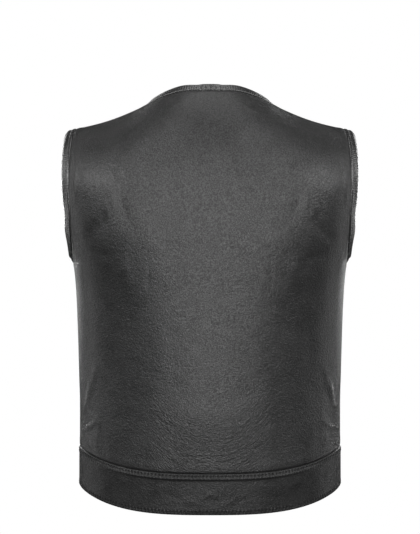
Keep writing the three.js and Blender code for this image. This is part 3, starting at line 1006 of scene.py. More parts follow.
@dataclass(frozen=True)
class Leather:
    """A leather finish: its colour, how rough and shiny it is, and how large and deep its grain.

    grain is the size of a grain cell, crinkle that of the creasing under it and billow that of the soft
    unevenness under both, each in millimetres.
    """

    name: str
    colour: float
    varied: float
    roughness: float
    rough_varied: float
    grain: float
    grain_depth: float
    crinkle: float
    crinkle_depth: float
    shine: float = 0.5
    sheen: float = 0.0
    swag: Swag | None = None
    billow: float = 34
    billow_depth: float = 1.0

    BLOTCHES_PER_METRE = 38
    PORES_PER_CELL = 2.2
    PORE_DEPTH = 0.4
    DULLEST, SHINIEST = 0.62, 1.38
    SHEEN_ROUGHNESS = 0.6

    def material(self) -> bpy.types.Material:
        """Build the finish as a node material on object coordinates."""
        tree = NodeTree(self.name)
        cell = 1 / (self.grain * MM)
        blotch = tree.noise(scale=self.BLOTCHES_PER_METRE, detail=4, roughness=0.6)
        cells = tree.add("ShaderNodeTexVoronoi", {"Vector": tree.place, "Scale": cell}).outputs["Distance"]
        pores = tree.noise(scale=self.PORES_PER_CELL / (self.grain * MM), detail=2, roughness=0.5)
        crinkle = tree.noise(scale=1 / (self.crinkle * MM), detail=5, roughness=0.62)
        spots = tree.noise(scale=cell, detail=1, roughness=0.5)
        billow = tree.noise(scale=1 / (self.billow * MM), detail=2, roughness=0.5)
        tree.varied("Base Color", blotch, (0.3, self.colour - self.varied), (0.7, self.colour + self.varied))
        low, high = self.roughness - self.rough_varied, self.roughness + self.rough_varied
        tree.varied("Roughness", crinkle, (0.3, low), (0.7, high))
        dull, bright = self.shine * self.DULLEST, self.shine * self.SHINIEST
        tree.varied("Specular IOR Level", spots, (0.35, dull), (0.65, bright))
        tree.put(self.sheen, tree.surface.inputs["Sheen Weight"])
        tree.put(self.SHEEN_ROUGHNESS, tree.surface.inputs["Sheen Roughness"])
        bump = tree.bump(crinkle, self.crinkle_depth, tree.bump(billow, self.billow_depth))
        if self.swag:
            bump = self.swag.bump(tree, bump)
        bump = tree.bump(cells, self.grain_depth, bump)
        tree.put(tree.bump(pores, self.grain_depth * self.PORE_DEPTH, bump), tree.surface.inputs["Normal"])
        return tree.made


@dataclass(frozen=True)
class Metal:
    """A lacquered metal finish."""

    name: str
    colour: float
    roughness: float

    WEAR_PER_METRE = 900
    WORN = 1.8
    SMOOTHER, ROUGHER = 0.06, 0.1
    WEAR_DEPTH = 0.01

    def material(self) -> bpy.types.Material:
        """Build the finish: dark metal with faint hairline wear."""
        tree = NodeTree(self.name)
        wear = tree.noise(scale=self.WEAR_PER_METRE, detail=6, roughness=0.7)
        tree.varied("Base Color", wear, (0.35, self.colour), (0.75, self.colour * self.WORN))
        low, high = self.roughness - self.SMOOTHER, self.roughness + self.ROUGHER
        tree.varied("Roughness", wear, (0.3, low), (0.7, high))
        tree.put(1.0, tree.surface.inputs["Metallic"])
        tree.put(tree.bump(wear, self.WEAR_DEPTH), tree.surface.inputs["Normal"])
        return tree.made


@dataclass(frozen=True)
class Yarn:
    """A waxed sewing thread, with the size of its twist in millimetres."""

    name: str
    colour: float
    roughness: float
    twist: float

    DARKER, LIGHTER = 0.6, 1.4
    TWIST_DEPTH = 0.08

    def material(self) -> bpy.types.Material:
        """Build the finish: dark thread with a fine twist."""
        tree = NodeTree(self.name)
        twist = tree.noise(scale=1 / (self.twist * MM), detail=3, roughness=0.6)
        dark, light = self.colour * self.DARKER, self.colour * self.LIGHTER
        tree.varied("Base Color", twist, (0.3, dark), (0.7, light))
        tree.put(self.roughness, tree.surface.inputs["Roughness"])
        tree.put(tree.bump(twist, self.TWIST_DEPTH), tree.surface.inputs["Normal"])
        return tree.made


class NodeTree:
    """A new material, with short ways to add and join its nodes."""

    def __init__(self, name: str) -> None:
        """Start a material that is laid on by object coordinates."""
        self.made = bpy.data.materials.new(name)
        self.made.use_nodes = True
        self.tree = self.made.node_tree
        self.surface = self.tree.nodes["Principled BSDF"]
        self.place = self.add("ShaderNodeTexCoord").outputs["Object"]

    def put(self, value: Socket | float, socket: Socket) -> None:
        """Join another node's output to a socket, or give it a number."""
        if isinstance(value, Socket):
            self.tree.links.new(value, socket)
        else:
            socket.default_value = value

    def add(self, kind: str, inputs: dict[str, Socket | float] | None = None) -> bpy.types.Node:
        """Add a node of some kind and put the inputs in its sockets, each under the socket's name."""
        node = self.tree.nodes.new(kind)
        for name, value in (inputs or {}).items():
            self.put(value, node.inputs[name])
        return node

    def noise(self, scale: float, detail: float, roughness: float, place: Socket | None = None) -> Socket:
        """Give a cloudy pattern."""
        sizes = {"Vector": place or self.place, "Scale": scale, "Detail": detail, "Roughness": roughness}
        return self.add("ShaderNodeTexNoise", sizes).outputs["Fac"]

    def math(self, operation: str, *values: Socket | float) -> Socket:
        """Reckon with one or two patterns or numbers."""
        node = self.add("ShaderNodeMath")
        node.operation = operation
        for socket, value in zip(node.inputs, values):
            self.put(value, socket)
        return node.outputs["Value"]

    def fade(self, value: Socket, start: float, end: float) -> Socket:
        """Rise gently from 0 to 1 while a pattern goes from start to end."""
        node = self.add("ShaderNodeMapRange", {"Value": value, "From Min": start, "From Max": end})
        node.interpolation_type = "SMOOTHSTEP"
        return node.outputs["Result"]

    def varied(self, name: str, value: Socket, *stops: tuple[float, float]) -> None:
        """Turn a pattern into greys between two stops (place, grey), for one of the surface's sockets."""
        node = self.add("ShaderNodeValToRGB", {"Fac": value})
        for stop, (place, grey) in zip(node.color_ramp.elements, stops):
            stop.position = place
            stop.color = (grey, grey, grey, 1)
        self.put(node.outputs["Color"], self.surface.inputs[name])

    def bump(self, height: Socket, depth: float, under: Socket | None = None) -> Socket:
        """Raise a pattern by a depth in millimetres, on another bump if one is given."""
        node = self.add("ShaderNodeBump", {"Height": height, "Distance": depth * MM, "Strength": 1.0})
        if under is not None:
            self.put(under, node.inputs["Normal"])
        return node.outputs["Normal"]


class Finish(Enum):
    """The finishes of the vest, one for each thing it is made of."""

    PANEL = Leather(
        "panel_grain", colour=0.021, varied=0.005, roughness=0.37, rough_varied=0.07, grain=1.9,
        grain_depth=0.3, crinkle=3.4, crinkle_depth=0.62, shine=0.55, swag=Swag(),
    )
    BAND = Leather(
        "band_grain", colour=0.018, varied=0.005, roughness=0.42, rough_varied=0.07, grain=2.0,
        grain_depth=0.28, crinkle=4.5, crinkle_depth=0.6, shine=0.36,
    )
    BINDING = Leather(
        "binding_grain", colour=0.022, varied=0.004, roughness=0.29, rough_varied=0.07, grain=1.5,
        grain_depth=0.1, crinkle=4, crinkle_depth=0.3, shine=1.0, billow_depth=0.4,
    )
    FLESH = Leather(
        "flesh_side", colour=0.035, varied=0.012, roughness=0.9, rough_varied=0.05, grain=0.7,
        grain_depth=0.06, crinkle=3, crinkle_depth=0.4, shine=0.2, sheen=0.25,
    )
    THREAD = Yarn("sewing_thread", colour=0.02, roughness=0.42, twist=0.35)
    SNAP = Metal("snap_lacquer", colour=0.06, roughness=0.32)


MATERIALS: dict[Finish, bpy.types.Material] = {}


class Piece:
    """What every piece of the vest shares: its finishes, its body and what it stands for."""

    def settle(
        self, piece: bpy.types.Object, finishes: Iterable[Finish], slot: str, *nodes: str
    ) -> bpy.types.Object:
        """Finish a piece and put it on the vest's body.

        Args:
            piece: the piece.
            finishes: its finishes, in the order of its material numbers.
            slot: the slot it takes; not used.
            nodes: the solids that it stands for.

        Returns:
            The piece.
        """
        for finish in finishes:
            piece.data.materials.append(MATERIALS[finish])
        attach(piece, "root")
        if nodes:
            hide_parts(*nodes)
        log.info("%s: %d faces", piece.name, len(piece.data.polygons))
        return piece


@dataclass
class Panel(Piece):
    """One cut panel of the vest: a thin wall of leather with its creases and sewn edges.

    Its points stand about inner_step apart under the neck and outer_step under the shoulders, and low_step
    apart in the low_rows above the hem seam and high_step higher up. Its corners fade within corner_reach
    coarse cells, and a cell of its flesh side spans coarser fine ones each way.
    """

    cut: Cut
    node: str
    pattern: Pattern
    inner_step: float = 1.92
    outer_step: float = 2.4
    low_step: float = 1.2
    high_step: float = 2.55
    low_rows: int = 5
    corner_reach: float = 5
    coarser: int = 3
    wall: float = 2.0
    hem_lip: Lip = Lip(depth=1.8, width=1.5, lift=0.3, lift_at=9, lift_width=5)
    armhole_lip: Lip = Lip(depth=1.4, width=1.6, lift=0.4, lift_at=7, lift_width=3.5)
    neck_lip: Lip = Lip(depth=1.8, width=2.2, lift=0.3, lift_at=8, lift_width=3.5, deep_share=1.7)
    seam_lip: Lip = Lip(depth=0.9, width=1.5, lift=0.25, lift_at=6, lift_width=4)
    fold_lip: Lip = Lip(depth=1.1, width=1.1, lift=0.2, lift_at=10, lift_width=3)

    def __post_init__(self) -> None:
        """Work out the panel's fine surface and where its seams run."""
        sign = 1 if self.cut is Cut.BACK else -1
        coarse = self.pattern.coarse(self.cut, True, 0)
        rows, columns = coarse.shape[:2]
        outside = self.pattern.shoulder_columns
        from_right, from_left = np.arange(columns), np.arange(columns)[::-1]
        if self.cut is Cut.LEFT:
            corner, to_side, to_edge = (columns - 1 - outside,), from_left, from_left[1:]
        elif self.cut is Cut.RIGHT:
            corner, to_side, to_edge = (outside,), from_right, from_right[:-1]
        else:
            corner, to_side = (outside, columns - 1 - outside), np.minimum(from_right, from_left)
            to_edge = np.minimum(from_right[:-1], from_left[1:])
        steps = (
            np.where(to_edge < outside, self.outer_step, self.inner_step),
            np.where(np.arange(rows - 1) < self.low_rows, self.low_step, self.high_step),
        )
        neck = Corners(corner, smooth(1 - np.arange(rows)[::-1] / self.corner_reach))
        armpit = Corners((self.pattern.body_rows,), smooth(1 - to_side / self.corner_reach))
        self.surface = Surface(coarse, sign, steps, self.coarser, (neck, armpit))
        self.armpit = self.surface.rows[self.pattern.body_rows]
        marks = self.surface.columns
        self.neck_from = 0 if self.cut is Cut.LEFT else marks[self.pattern.shoulder_columns]
        self.neck_to = marks[-1] if self.cut is Cut.RIGHT else marks[-1 - self.pattern.shoulder_columns]

    @property
    def sides(self) -> list[int]:
        """List the fine columns along which the panel meets a side seam and an armhole."""
        return {Cut.BACK: [0, -1], Cut.LEFT: [-1], Cut.RIGHT: [0]}[self.cut]

    def seams(self) -> list[tuple[np.ndarray, Lip]]:
        """List the panel's edges, each with its way of running out."""
        points = self.surface.points
        edges = [(points[0], self.hem_lip), (points[-1, self.neck_from : self.neck_to + 1], self.neck_lip)]
        if self.cut is not Cut.LEFT:
            edges.append((points[-1, : self.neck_from + 1], self.seam_lip))
        if self.cut is not Cut.RIGHT:
            edges.append((points[-1, self.neck_to :], self.seam_lip))
        for column in self.sides:
            edges.append((points[: self.armpit + 1, column], self.seam_lip))
            edges.append((points[self.armpit :, column], self.armhole_lip))
        if self.cut is not Cut.BACK:
            edges.append((points[:, 0 if self.cut is Cut.LEFT else -1], self.fold_lip))
        return edges

    def build(self, creases: list[Crease]) -> bpy.types.Object:
        """Shape the panel and dress it.

        Args:
            creases: the creases to press into it.

        Returns:
            The piece.
        """
        for edge, lip in self.seams():
            self.surface.add_lip(edge, lip)
        for crease in creases:
            self.surface.add_crease(crease)
        piece = shell(f"{self.node}_leather", self.surface, self.wall, self.coarser)
        return self.settle(piece, (Finish.PANEL, Finish.FLESH), "panel_leather", self.node)


@dataclass
class HemBand(Piece):
    """The doubled band along the hem of one panel, sewn on with a row of stitches and edge stitched below.

    top_row and foot_row are how far the rows lie from its edges, and proud how far it stands out past the
    panel.
    """

    cut: Cut
    node: str
    pattern: Pattern
    thread: Thread
    step: tuple[float, float] = (0.883, 1.15)
    coarser: int = 4
    wall: float = 3.0
    proud: float = 0.6
    top_row: float = 4.2
    foot_row: float = 3.6
    top_lip: Lip = Lip(depth=1.0, width=1.2, lift=1.9, lift_at=7.2, lift_width=1.9, flat_share=0.08)
    foot_lip: Lip = Lip(depth=1.0, width=1.5, lift=0.1, lift_at=8, lift_width=3)
    foot_thread: Thread = Thread(trough=0.6, pucker=0.7)
    seam_lip: Lip = Lip(depth=1.0, width=1.4, lift=0.2, lift_at=6, lift_width=4)

    def __post_init__(self) -> None:
        """Work out the band's fine surface."""
        sign = 1 if self.cut is Cut.BACK else -1
        coarse = self.pattern.coarse(self.cut, False, self.proud)
        rows, columns = coarse.shape[:2]
        straight = (Corners((), np.zeros(rows)), Corners((), np.zeros(columns)))
        self.surface = Surface(coarse, sign, self.step, self.coarser, straight)

    def row_at(self, distance: float, is_top: bool) -> tuple[np.ndarray, np.ndarray]:
        """Find a line along the band.

        Args:
            distance: how far it runs from the upper or lower edge.
            is_top: measure from the upper edge.

        Returns:
            The line's points and the outward directions there.
        """
        points, normals = self.surface.points, self.surface.normals
        order = slice(None, None, -1) if is_top else slice(None)
        line, ups = [], []
        for c in range(points.shape[1]):
            column, out = points[order, c], normals[order, c]
            places = along(column)
            line.append(read(column, places, distance))
            ups.append(read(out, places, distance))
        return np.array(line), unit(np.array(ups))

    def build(self, creases: list[Crease]) -> list[bpy.types.Object]:
        """Shape the band, dress it and sew it.

        Args:
            creases: the creases to press into it.

        Returns:
            The band and its stitches.
        """
        points = self.surface.points
        self.surface.add_lip(points[-1], self.top_lip)
        self.surface.add_lip(points[0], self.foot_lip)
        for column in (0, -1):
            self.surface.add_lip(points[:, column], self.seam_lip)
        for crease in creases:
            self.surface.add_crease(crease)
        rows = [self.row_at(self.top_row, True), self.row_at(self.foot_row, False)]
        sewn = []
        for (line, up), thread in zip(rows, (self.thread, self.foot_thread)):
            self.surface.add_stitching(line, thread)
            sewn.append((line - up * thread.depth, up))
        piece = shell(f"{self.node}_leather", self.surface, self.wall, self.coarser)
        self.settle(piece, (Finish.BAND, Finish.BAND), "panel_leather", self.node)
        stitches = self.thread.lay(f"{self.node}_stitches", sewn)
        return [piece, self.settle(stitches, (Finish.THREAD,), "binding_leather")]


@dataclass
class Binding(Piece):
    """A leather strip folded round an edge and sewn through, with the puckers that its stitches draw.

    Its free edge stands gap and width together beyond the panel's edge, and it reaches back over the panel
    by overlap less gap. Near shoulder_z it turns down by droop degrees. It swells by crown beyond its
    stitches. puckered is how far its free edge is drawn out at the back's middle, over a stretch that goes
    puckered_half to each side and is crossed by small ripples.
    """

    node: str
    thread: Thread
    width: float
    thick: float
    droop: float
    is_loop: bool
    stitch_row: float = 4.3
    overlap: float = 1.8
    gap: float = 0.55
    square: float = 3.2
    sides: int = 32
    droop_fade: float = 90
    crown: float = 1.1
    crown_width: float = 2.6
    puckered: float = 0.0
    puckered_half: float = 21
    shoulder_z: float = -16.5

    PUCKERED_FADE = 11
    CROWN_AT = 4
    FACE = 0.45
    END_SCALES = (0.55, 0.88)
    EASING = 9
    RIPPLE = 0.5
    RIPPLE_RATE, RIPPLE_DRIFT, DRIFT_RATE = 0.86, 0.6, 0.31
    RIPPLE_AT, RIPPLE_WIDTH = 0.6, 3.2

    def rings(self, edge: np.ndarray, normal: np.ndarray, further: np.ndarray) -> None:
        """Work out the strip's rings along an edge.

        Args:
            edge: points along the middle of the wall's cut edge.
            normal: the outward directions there.
            further: points a little way into the panel.
        """
        if self.is_loop:
            edge, normal, further = (np.concatenate([a, a[:1]]) for a in (edge, normal, further))
        lengths = along(edge)
        stitches = round(lengths[-1] / self.thread.pitch)
        count = stitches * self.thread.points + (0 if self.is_loop else 1)
        self.places = np.linspace(0, lengths[-1], count, endpoint=not self.is_loop)
        lines = (edge, normal, edge - further)
        edge, normal, away = (self.eased(read(a, lengths, self.places)) for a in lines)
        if self.is_loop:
            run = unit(np.roll(edge, -1, axis=0) - np.roll(edge, 1, axis=0))
        else:
            run = unit(np.gradient(edge, axis=0))
        normal = unit(normal - run * (normal * run).sum(-1, keepdims=True))
        out = np.cross(run, normal)
        out *= np.sign((out * away).sum())
        fade = smooth(1 - (self.shoulder_z - edge[:, 2]) / self.droop_fade)
        droop = np.radians(self.droop * fade)[:, None]
        self.run, self.edge = run, edge
        self.out = out * np.cos(droop) - normal * np.sin(droop)
        self.up = normal * np.cos(droop) + out * np.sin(droop)

    def eased(self, values: np.ndarray) -> np.ndarray:
        """Take the corners off a run of values by a moving mean."""
        reach = self.EASING
        if self.is_loop:
            before, after = values[-reach:], values[:reach]
        else:
            before = 2 * values[:1] - values[reach:0:-1]
            after = 2 * values[-1:] - values[-2 : -reach - 2 : -1]
        padded = np.concatenate([before, values, after])
        window = bell(reach) / bell(reach).sum()
        return np.stack([np.convolve(padded[:, k], window, mode="valid") for k in range(3)], axis=-1)

    def height_at(self, wide: np.ndarray) -> np.ndarray:
        """Give the plain strip's half thickness at some places across it, from its middle."""
        share = np.clip(np.abs(wide) / (self.full / 2), 0, 1)
        return self.thick / 2 * (1 - share**self.square) ** (1 / self.square)

    @property
    def full(self) -> float:
        """Give the strip's width with what lies over the panel."""
        return self.width + self.overlap

    @property
    def row(self) -> float:
        """Give where the stitches run across the strip, from its middle."""
        return -self.full / 2 + self.overlap + self.stitch_row

    def relief(self, wide: np.ndarray, high: np.ndarray) -> tuple[np.ndarray, np.ndarray]:
        """Work out how stitches and puckers change the strip's plain outline, ring by ring.

        Args:
            wide: where the outline's points lie across the strip, from its middle.
            high: how far they lie above it.

        Returns:
            Where they come to lie across the strip, and how far each is lifted.
        """
        off = wide - self.row
        lift = self.thread.relief(np.abs(off)[None], np.arange(len(self.places))[:, None])
        lift = lift + self.crown * np.exp(-(((off - self.CROWN_AT) / self.crown_width) ** 2))
        lift = lift * (smooth(np.abs(high) / (self.FACE * self.thick / 2)) * np.sign(high))
        x = self.edge[:, 0]
        here = (np.abs(x) < self.puckered_half) & (self.edge[:, 1] > 0) & (self.puckered > 0)
        window = smooth((self.puckered_half - np.abs(x)) / self.PUCKERED_FADE) * here
        drift = self.RIPPLE_DRIFT * np.sin(x * self.DRIFT_RATE)
        ripple = self.RIPPLE * np.sin(x * self.RIPPLE_RATE + drift) * window
        fold = np.exp(-(((wide - self.RIPPLE_AT) / self.RIPPLE_WIDTH) ** 2)) * (high > 0)
        grown = self.puckered * window
        stretch = wide[None] + grown[:, None] * smooth(wide / (self.full / 2))[None]
        return stretch, lift + ripple[:, None] * fold

    def strip(self, middle: np.ndarray) -> tuple[np.ndarray, list]:
        """Shape the strip round its middle line.

        Args:
            middle: the line's points, one to a ring.

        Returns:
            The vertices and the faces.
        """
        angle = (np.arange(self.sides) + 0.5) / self.sides * 2 * math.pi
        cos, sin = np.cos(angle), np.sin(angle)
        wide = np.sign(cos) * np.abs(cos) ** (2 / self.square) * self.full / 2
        high = np.sign(sin) * np.abs(sin) ** (2 / self.square) * self.thick / 2
        stretch, lift = self.relief(wide, high)
        scale = np.ones(len(self.places))
        if not self.is_loop:
            scale[[0, -1]], scale[[1, -2]] = self.END_SCALES
        across_it = (stretch * scale[:, None])[..., None] * self.out[:, None]
        points = middle[:, None] + across_it + ((high + lift) * scale[:, None])[..., None] * self.up[:, None]
        count, sides = points.shape[:2]
        r = np.arange(count if self.is_loop else count - 1)[:, None]
        k = np.arange(sides)[None]
        further, right = (r + 1) % count, (k + 1) % sides
        corners = [r * sides + k, further * sides + k, further * sides + right, r * sides + right]
        faces = np.stack(corners, -1).reshape(-1, 4).tolist()
        if not self.is_loop:
            last = (count - 1) * sides
            faces += [list(range(sides)), [last + i for i in range(sides)][::-1]]
        return points.reshape(-1, 3), faces

    def build(self) -> list[bpy.types.Object]:
        """Make the strip and its stitches.

        Returns:
            The strip and the stitches.
        """
        middle = self.edge + self.out * (self.gap - self.overlap + self.full / 2)
        points, faces = self.strip(middle)
        piece = build_mesh(f"{self.node}_leather", points, faces, flip=signed_volume(points, faces) < 0)
        self.settle(piece, (Finish.BINDING,), "binding_leather", self.node)
        rows = []
        depth = self.height_at(np.array(self.row)) - self.thread.depth
        for face in (1, -1):
            line, up = middle + self.out * self.row + self.up * face * depth, self.up * face
            if self.is_loop:
                line, up = (np.concatenate([a, a[:1]]) for a in (line, up))
            rows.append((line, up))
        stitches = self.thread.lay(f"{self.node}_stitches", rows)
        return [piece, self.settle(stitches, (Finish.THREAD,), "binding_leather")]


@dataclass
class Snap(Piece):
    """A snap's cap: a rolled rim round a low dome, set on the wearer's left front.

    DOME lists its steps from the rim to the top, as shares of the radius and of the rise.
    """

    node: str
    radius: float = 7.5
    height: float = 2.6
    rim: float = 1.1
    sides: int = 32

    RIM_SHARE, GROOVE_SHARE = 0.16, 0.05
    GROOVE_DEPTH = 0.45
    DOME = ((0.12, 0.5), (0.2, 0.3), (0.24, 0.16), (0.2, 0.04))
    ROLL, ROLL_STEPS = 0.3, 3
    SMOOTH_ANGLE = 50

    def build(self, surface: Surface, column: int, z: float) -> bpy.types.Object:
        """Model the cap and set it on the leather.

        Args:
            surface: the leather it's set on.
            column: the fine column of the surface that the snaps run down.
            z: its height.

        Returns:
            The piece.
        """
        line, normals = surface.points[:, column], surface.normals[:, column]
        base, out = read(line, line[:, 2], z), read(normals, line[:, 2], z)
        out[0] = 0
        out = unit(out)
        bpy.ops.object.select_all(action="DESELECT")
        bpy.ops.mesh.primitive_cylinder_add(vertices=self.sides, radius=self.radius, depth=self.rim)
        cap = bpy.context.object
        bpy.ops.object.mode_set(mode="EDIT")
        bpy.ops.mesh.select_all(action="DESELECT")
        bpy.ops.object.mode_set(mode="OBJECT")
        max(cap.data.polygons, key=lambda f: f.center.z).select = True
        bpy.ops.object.mode_set(mode="EDIT")
        bpy.ops.mesh.select_mode(type="FACE")
        bpy.ops.mesh.inset(thickness=self.radius * self.RIM_SHARE)
        rise = self.height - self.rim * (1 - self.GROOVE_DEPTH)
        dome = [(rise * up, share) for share, up in self.DOME]
        for lift, share in [(-self.rim * self.GROOVE_DEPTH, self.GROOVE_SHARE), *dome]:
            bpy.ops.mesh.extrude_region_move(TRANSFORM_OT_translate={"value": (0, 0, lift)})
            bpy.ops.mesh.inset(thickness=self.radius * share)
        bpy.ops.object.mode_set(mode="OBJECT")
        bevel = cap.modifiers.new("Rolled rim", "BEVEL")
        bevel.width, bevel.segments, bevel.limit_method = self.rim * self.ROLL, self.ROLL_STEPS, "ANGLE"
        bpy.ops.object.modifier_apply(modifier=bevel.name)
        bpy.ops.object.shade_smooth_by_angle(angle=math.radians(self.SMOOTH_ANGLE))
        turn = Vector((0, 0, 1)).rotation_difference(Vector(out)).to_matrix().to_4x4()
        foot = Matrix.Translation(Vector((0, 0, self.rim / 2)))
        place = Matrix.Translation(Vector(base + out * SEAM_GAP))
        cap.data.transform(Matrix.Scale(MM, 4) @ place @ turn @ foot)
        cap.location = (0, 0, 0)
        cap.name = cap.data.name = f"{self.node}_cap"
        return self.settle(cap, (Finish.SNAP,), "snap_metal", self.node)


@dataclass
class Studio:
    """A plain white studio: a pale floor, soft lights all round and the camera at the photograph's angle."""

    middle: tuple[float, float, float] = (0.0, 0.0, -0.27)
    floor_z: float = -1.4
    floor_radius: float = 4.8
    floor_glow: float = 0.8
    floor_sides: int = 96
    paper: float = 0.9
    paper_roughness: float = 0.85
    camera_place: tuple[float, float, float] = (0.0, 3.0, -0.228)
    lens: float = 132.2
    sensor: float = 36

    def light(self, name: str, place: tuple, size: tuple, power: float) -> None:
        """Hang a soft white panel of light that faces the vest's middle.

        Args:
            name: the light's name.
            place: where it hangs.
            size: its width and height.
            power: its power in watts.
        """
        data = bpy.data.lights.new(name, "AREA")
        data.shape, data.energy = "RECTANGLE", power
        data.size, data.size_y = size
        lamp = bpy.data.objects.new(name, data)
        lamp.location = place
        lamp.rotation_euler = (Vector(self.middle) - Vector(place)).to_track_quat("-Z", "Y").to_euler()
        lamp.visible_camera = False
        bpy.context.scene.collection.objects.link(lamp)

    def floor(self) -> bpy.types.Object:
        """Lay the pale floor."""
        bpy.ops.object.select_all(action="DESELECT")
        bpy.ops.mesh.primitive_circle_add(
            vertices=self.floor_sides, radius=self.floor_radius, fill_type="NGON"
        )
        floor = bpy.context.object
        floor.name = "studio_floor"
        floor.data.transform(Matrix.Translation(Vector((0, 0, self.floor_z))))
        made = bpy.data.materials.new("studio_paper")
        made.use_nodes = True
        surface = made.node_tree.nodes["Principled BSDF"]
        surface.inputs["Base Color"].default_value = (self.paper, self.paper, self.paper, 1)
        surface.inputs["Roughness"].default_value = self.paper_roughness
        surface.inputs["Emission Color"].default_value = (1, 1, 1, 1)
        surface.inputs["Emission Strength"].default_value = self.floor_glow
        floor.data.materials.append(made)
        floor.visible_diffuse = floor.visible_glossy = False
        return floor

    def world(self, seen: float, shed: float) -> None:
        """Make the white surroundings, brighter to the camera than what they shed on the vest."""
        world = bpy.data.worlds.new("studio_white")
        world.use_nodes = True
        nodes, links = world.node_tree.nodes, world.node_tree.links
        dim = nodes["Background"]
        dim.inputs["Color"].default_value, dim.inputs["Strength"].default_value = (1, 1, 1, 1), shed
        bright = nodes.new("ShaderNodeBackground")
        bright.inputs["Color"].default_value, bright.inputs["Strength"].default_value = (1, 1, 1, 1), seen
        rays, both = nodes.new("ShaderNodeLightPath"), nodes.new("ShaderNodeMixShader")
        links.new(rays.outputs["Is Camera Ray"], both.inputs["Fac"])
        links.new(dim.outputs["Background"], both.inputs[1])
        links.new(bright.outputs["Background"], both.inputs[2])
        links.new(both.outputs["Shader"], nodes["World Output"].inputs["Surface"])
        bpy.context.scene.world = world

    def camera(self) -> None:
        """Stand the camera level, straight behind the vest."""
        data = bpy.data.cameras.new("camera")
        data.lens, data.sensor_width, data.sensor_fit = self.lens, self.sensor, "AUTO"
        camera = bpy.data.objects.new("camera", data)
        camera.location = self.camera_place
        camera.rotation_euler = (math.pi / 2, 0, math.pi)
        bpy.context.scene.collection.objects.link(camera)
        bpy.context.scene.camera = camera

    def build(self) -> None:
        """Set up the studio."""
        self.world(seen=1.0, shed=0.03)
        self.light("key_softbox", (0, 3.2, -0.3), (0.8, 0.6), 33)
        self.light("top_softbox", (0, 0.2, 2.2), (1.5, 1.5), 14)
        for side in (-1, 1):
            self.light("near_strip", (side * 0.9, 2.7, 0.1), (0.6, 1.8), 4)
            self.light("high_softbox", (side * 1.6, 2.1, 1.2), (1.5, 1.5), 30)
            self.light("outer_softbox", (side * 2.4, 1.0, 1.2), (1.4, 1.4), 18)
            self.light("side_softbox", (side * 2.5, -0.5, 0.2), (0.8, 0.9), 5)
            self.light("low_softbox", (side * 2.5, -0.7, -0.8), (0.8, 1.0), 5)
            self.light("high_strip", (side * 2.5, -0.5, 1.3), (1.2, 1.2), 4)
            self.light("rim_softbox", (side * 1.7, -2.4, 0.2), (0.8, 0.9), 24)
            self.light("high_rim", (side * 1.7, -2.3, 1.2), (1.0, 1.0), 8)
        self.floor()
        bpy.context.scene.view_settings.view_transform = "Standard"


BACK_CREASES = (
    Crease(181, -395, 191, -450, -3, 5, 1.5),
    Crease(168, -370, 183.5, -428, 0, 6, 1.2),
    Crease(168, -457, 190, -475, 0, 4.5, 1.2),
    Crease(172, -476, 165, -509, 2, 5, 1.1),
    Crease(180, -484, 177, -508, 0, 4, 0.8),
    Crease(183, -438, 168, -452, 0, 5, -0.9),
    Crease(160, -440, 157, -500, 2, 7, -0.7),
    Crease(199, -72, 200, -138, 0, 3.5, 1.4),
    Crease(58.5, 24.6, 58.5, 14, 0, 3, 0.8),
    Crease(48, 13.4, 66.5, 4.3, 0, 4, 0.8),
    Crease(139, -80, 146, -151, 2, 8, 1.3),
    Crease(127, -76, 121, -112, 0, 5, 0.7),
    Crease(133, -96, 119, -168, 3, 8, -1.2),
    Crease(153, -128, 150, -160, 0, 5, 0.9),
    Crease(189, -188, 149, -150, 3, 10, -1.2),
    Crease(176, -205, 140, -214, 0, 8, -1.0),
    Crease(128, -205, 116, -262, 3, 10, 1.0),
    Crease(88, -213, 91, -264, 1, 4, -0.4),
    Crease(35, -168, 29, -200, 0, 3.5, 0.35),
    Crease(102, -270, 124, -340, 0, 12, -0.8),
    Crease(148, -330, 142, -420, 0, 12, -0.8),
    Crease(66, -300, 78, -400, 0, 14, 0.6),
)
CENTRE_CREASES = (
    Crease(-30, -502, 30, -502.5, -1, 1.6, 0.55),
    Crease(-12, -511, -1, -515, 0, 1.5, 0.4),
    Crease(12, -511, 1, -515, 0, 1.5, 0.4),
    Crease(-22, -484, 20, -485, -2, 2.2, -0.3),
)
FRONT_CREASES = (
    Crease(176, -398, 188, -452, -3, 3.4, 1.4),
    Crease(164, -380, 178, -430, 0, 4.5, 1.0),
    Crease(168, -462, 185, -476, 0, 3, 1.1),
    Crease(150, -470, 128, -488, 2, 4, 0.8),
    Crease(176, -190, 140, -150, 3, 9, -0.9),
    Crease(166, -212, 128, -222, 0, 8, 0.8),
    Crease(120, -120, 104, -172, 2, 8, 0.8),
    Crease(70, -18, 98, -52, 2, 8, 0.7),
    Crease(22, -150, 46, -170, 1, 4, 0.5),
    Crease(22, -254, 52, -268, 1, 4, 0.5),
    Crease(22, -352, 48, -374, 1, 4, 0.5),
    Crease(22, -446, 44, -458, 1, 3.5, 0.45),
)
BAND_CREASES = (
    Crease(8, -557, -12.5, -569, 0, 4, 0.5),
    Crease(-12.5, -580, -42, -569, 0, 4, 0.45),
    Crease(60, -548, 92, -560, 0, 5, 0.4),
    Crease(118, -552, 140, -538, 0, 5, 0.45),
    Crease(150, -560, 168, -536, 0, 4, 0.5),
    Crease(172, -545, 180, -520, 0, 4, 0.5),
    Crease(34, -572, 66, -562, 0, 4, -0.4),
)
BACK_FAN = Fan(count=320, low=-527, high=-440, reach=92)
FRONT_FAN = Fan(count=60, low=-496, high=-462, reach=120, curve=0.0012)
CREASE_SHIFT = 1.6


def both_sides(creases: tuple[Crease, ...], rng: np.random.Generator) -> list[Crease]:
    """Give creases and their like on the other side, a little uneven."""
    return [c for crease in creases for c in (crease, crease.mirrored(rng, CREASE_SHIFT))]


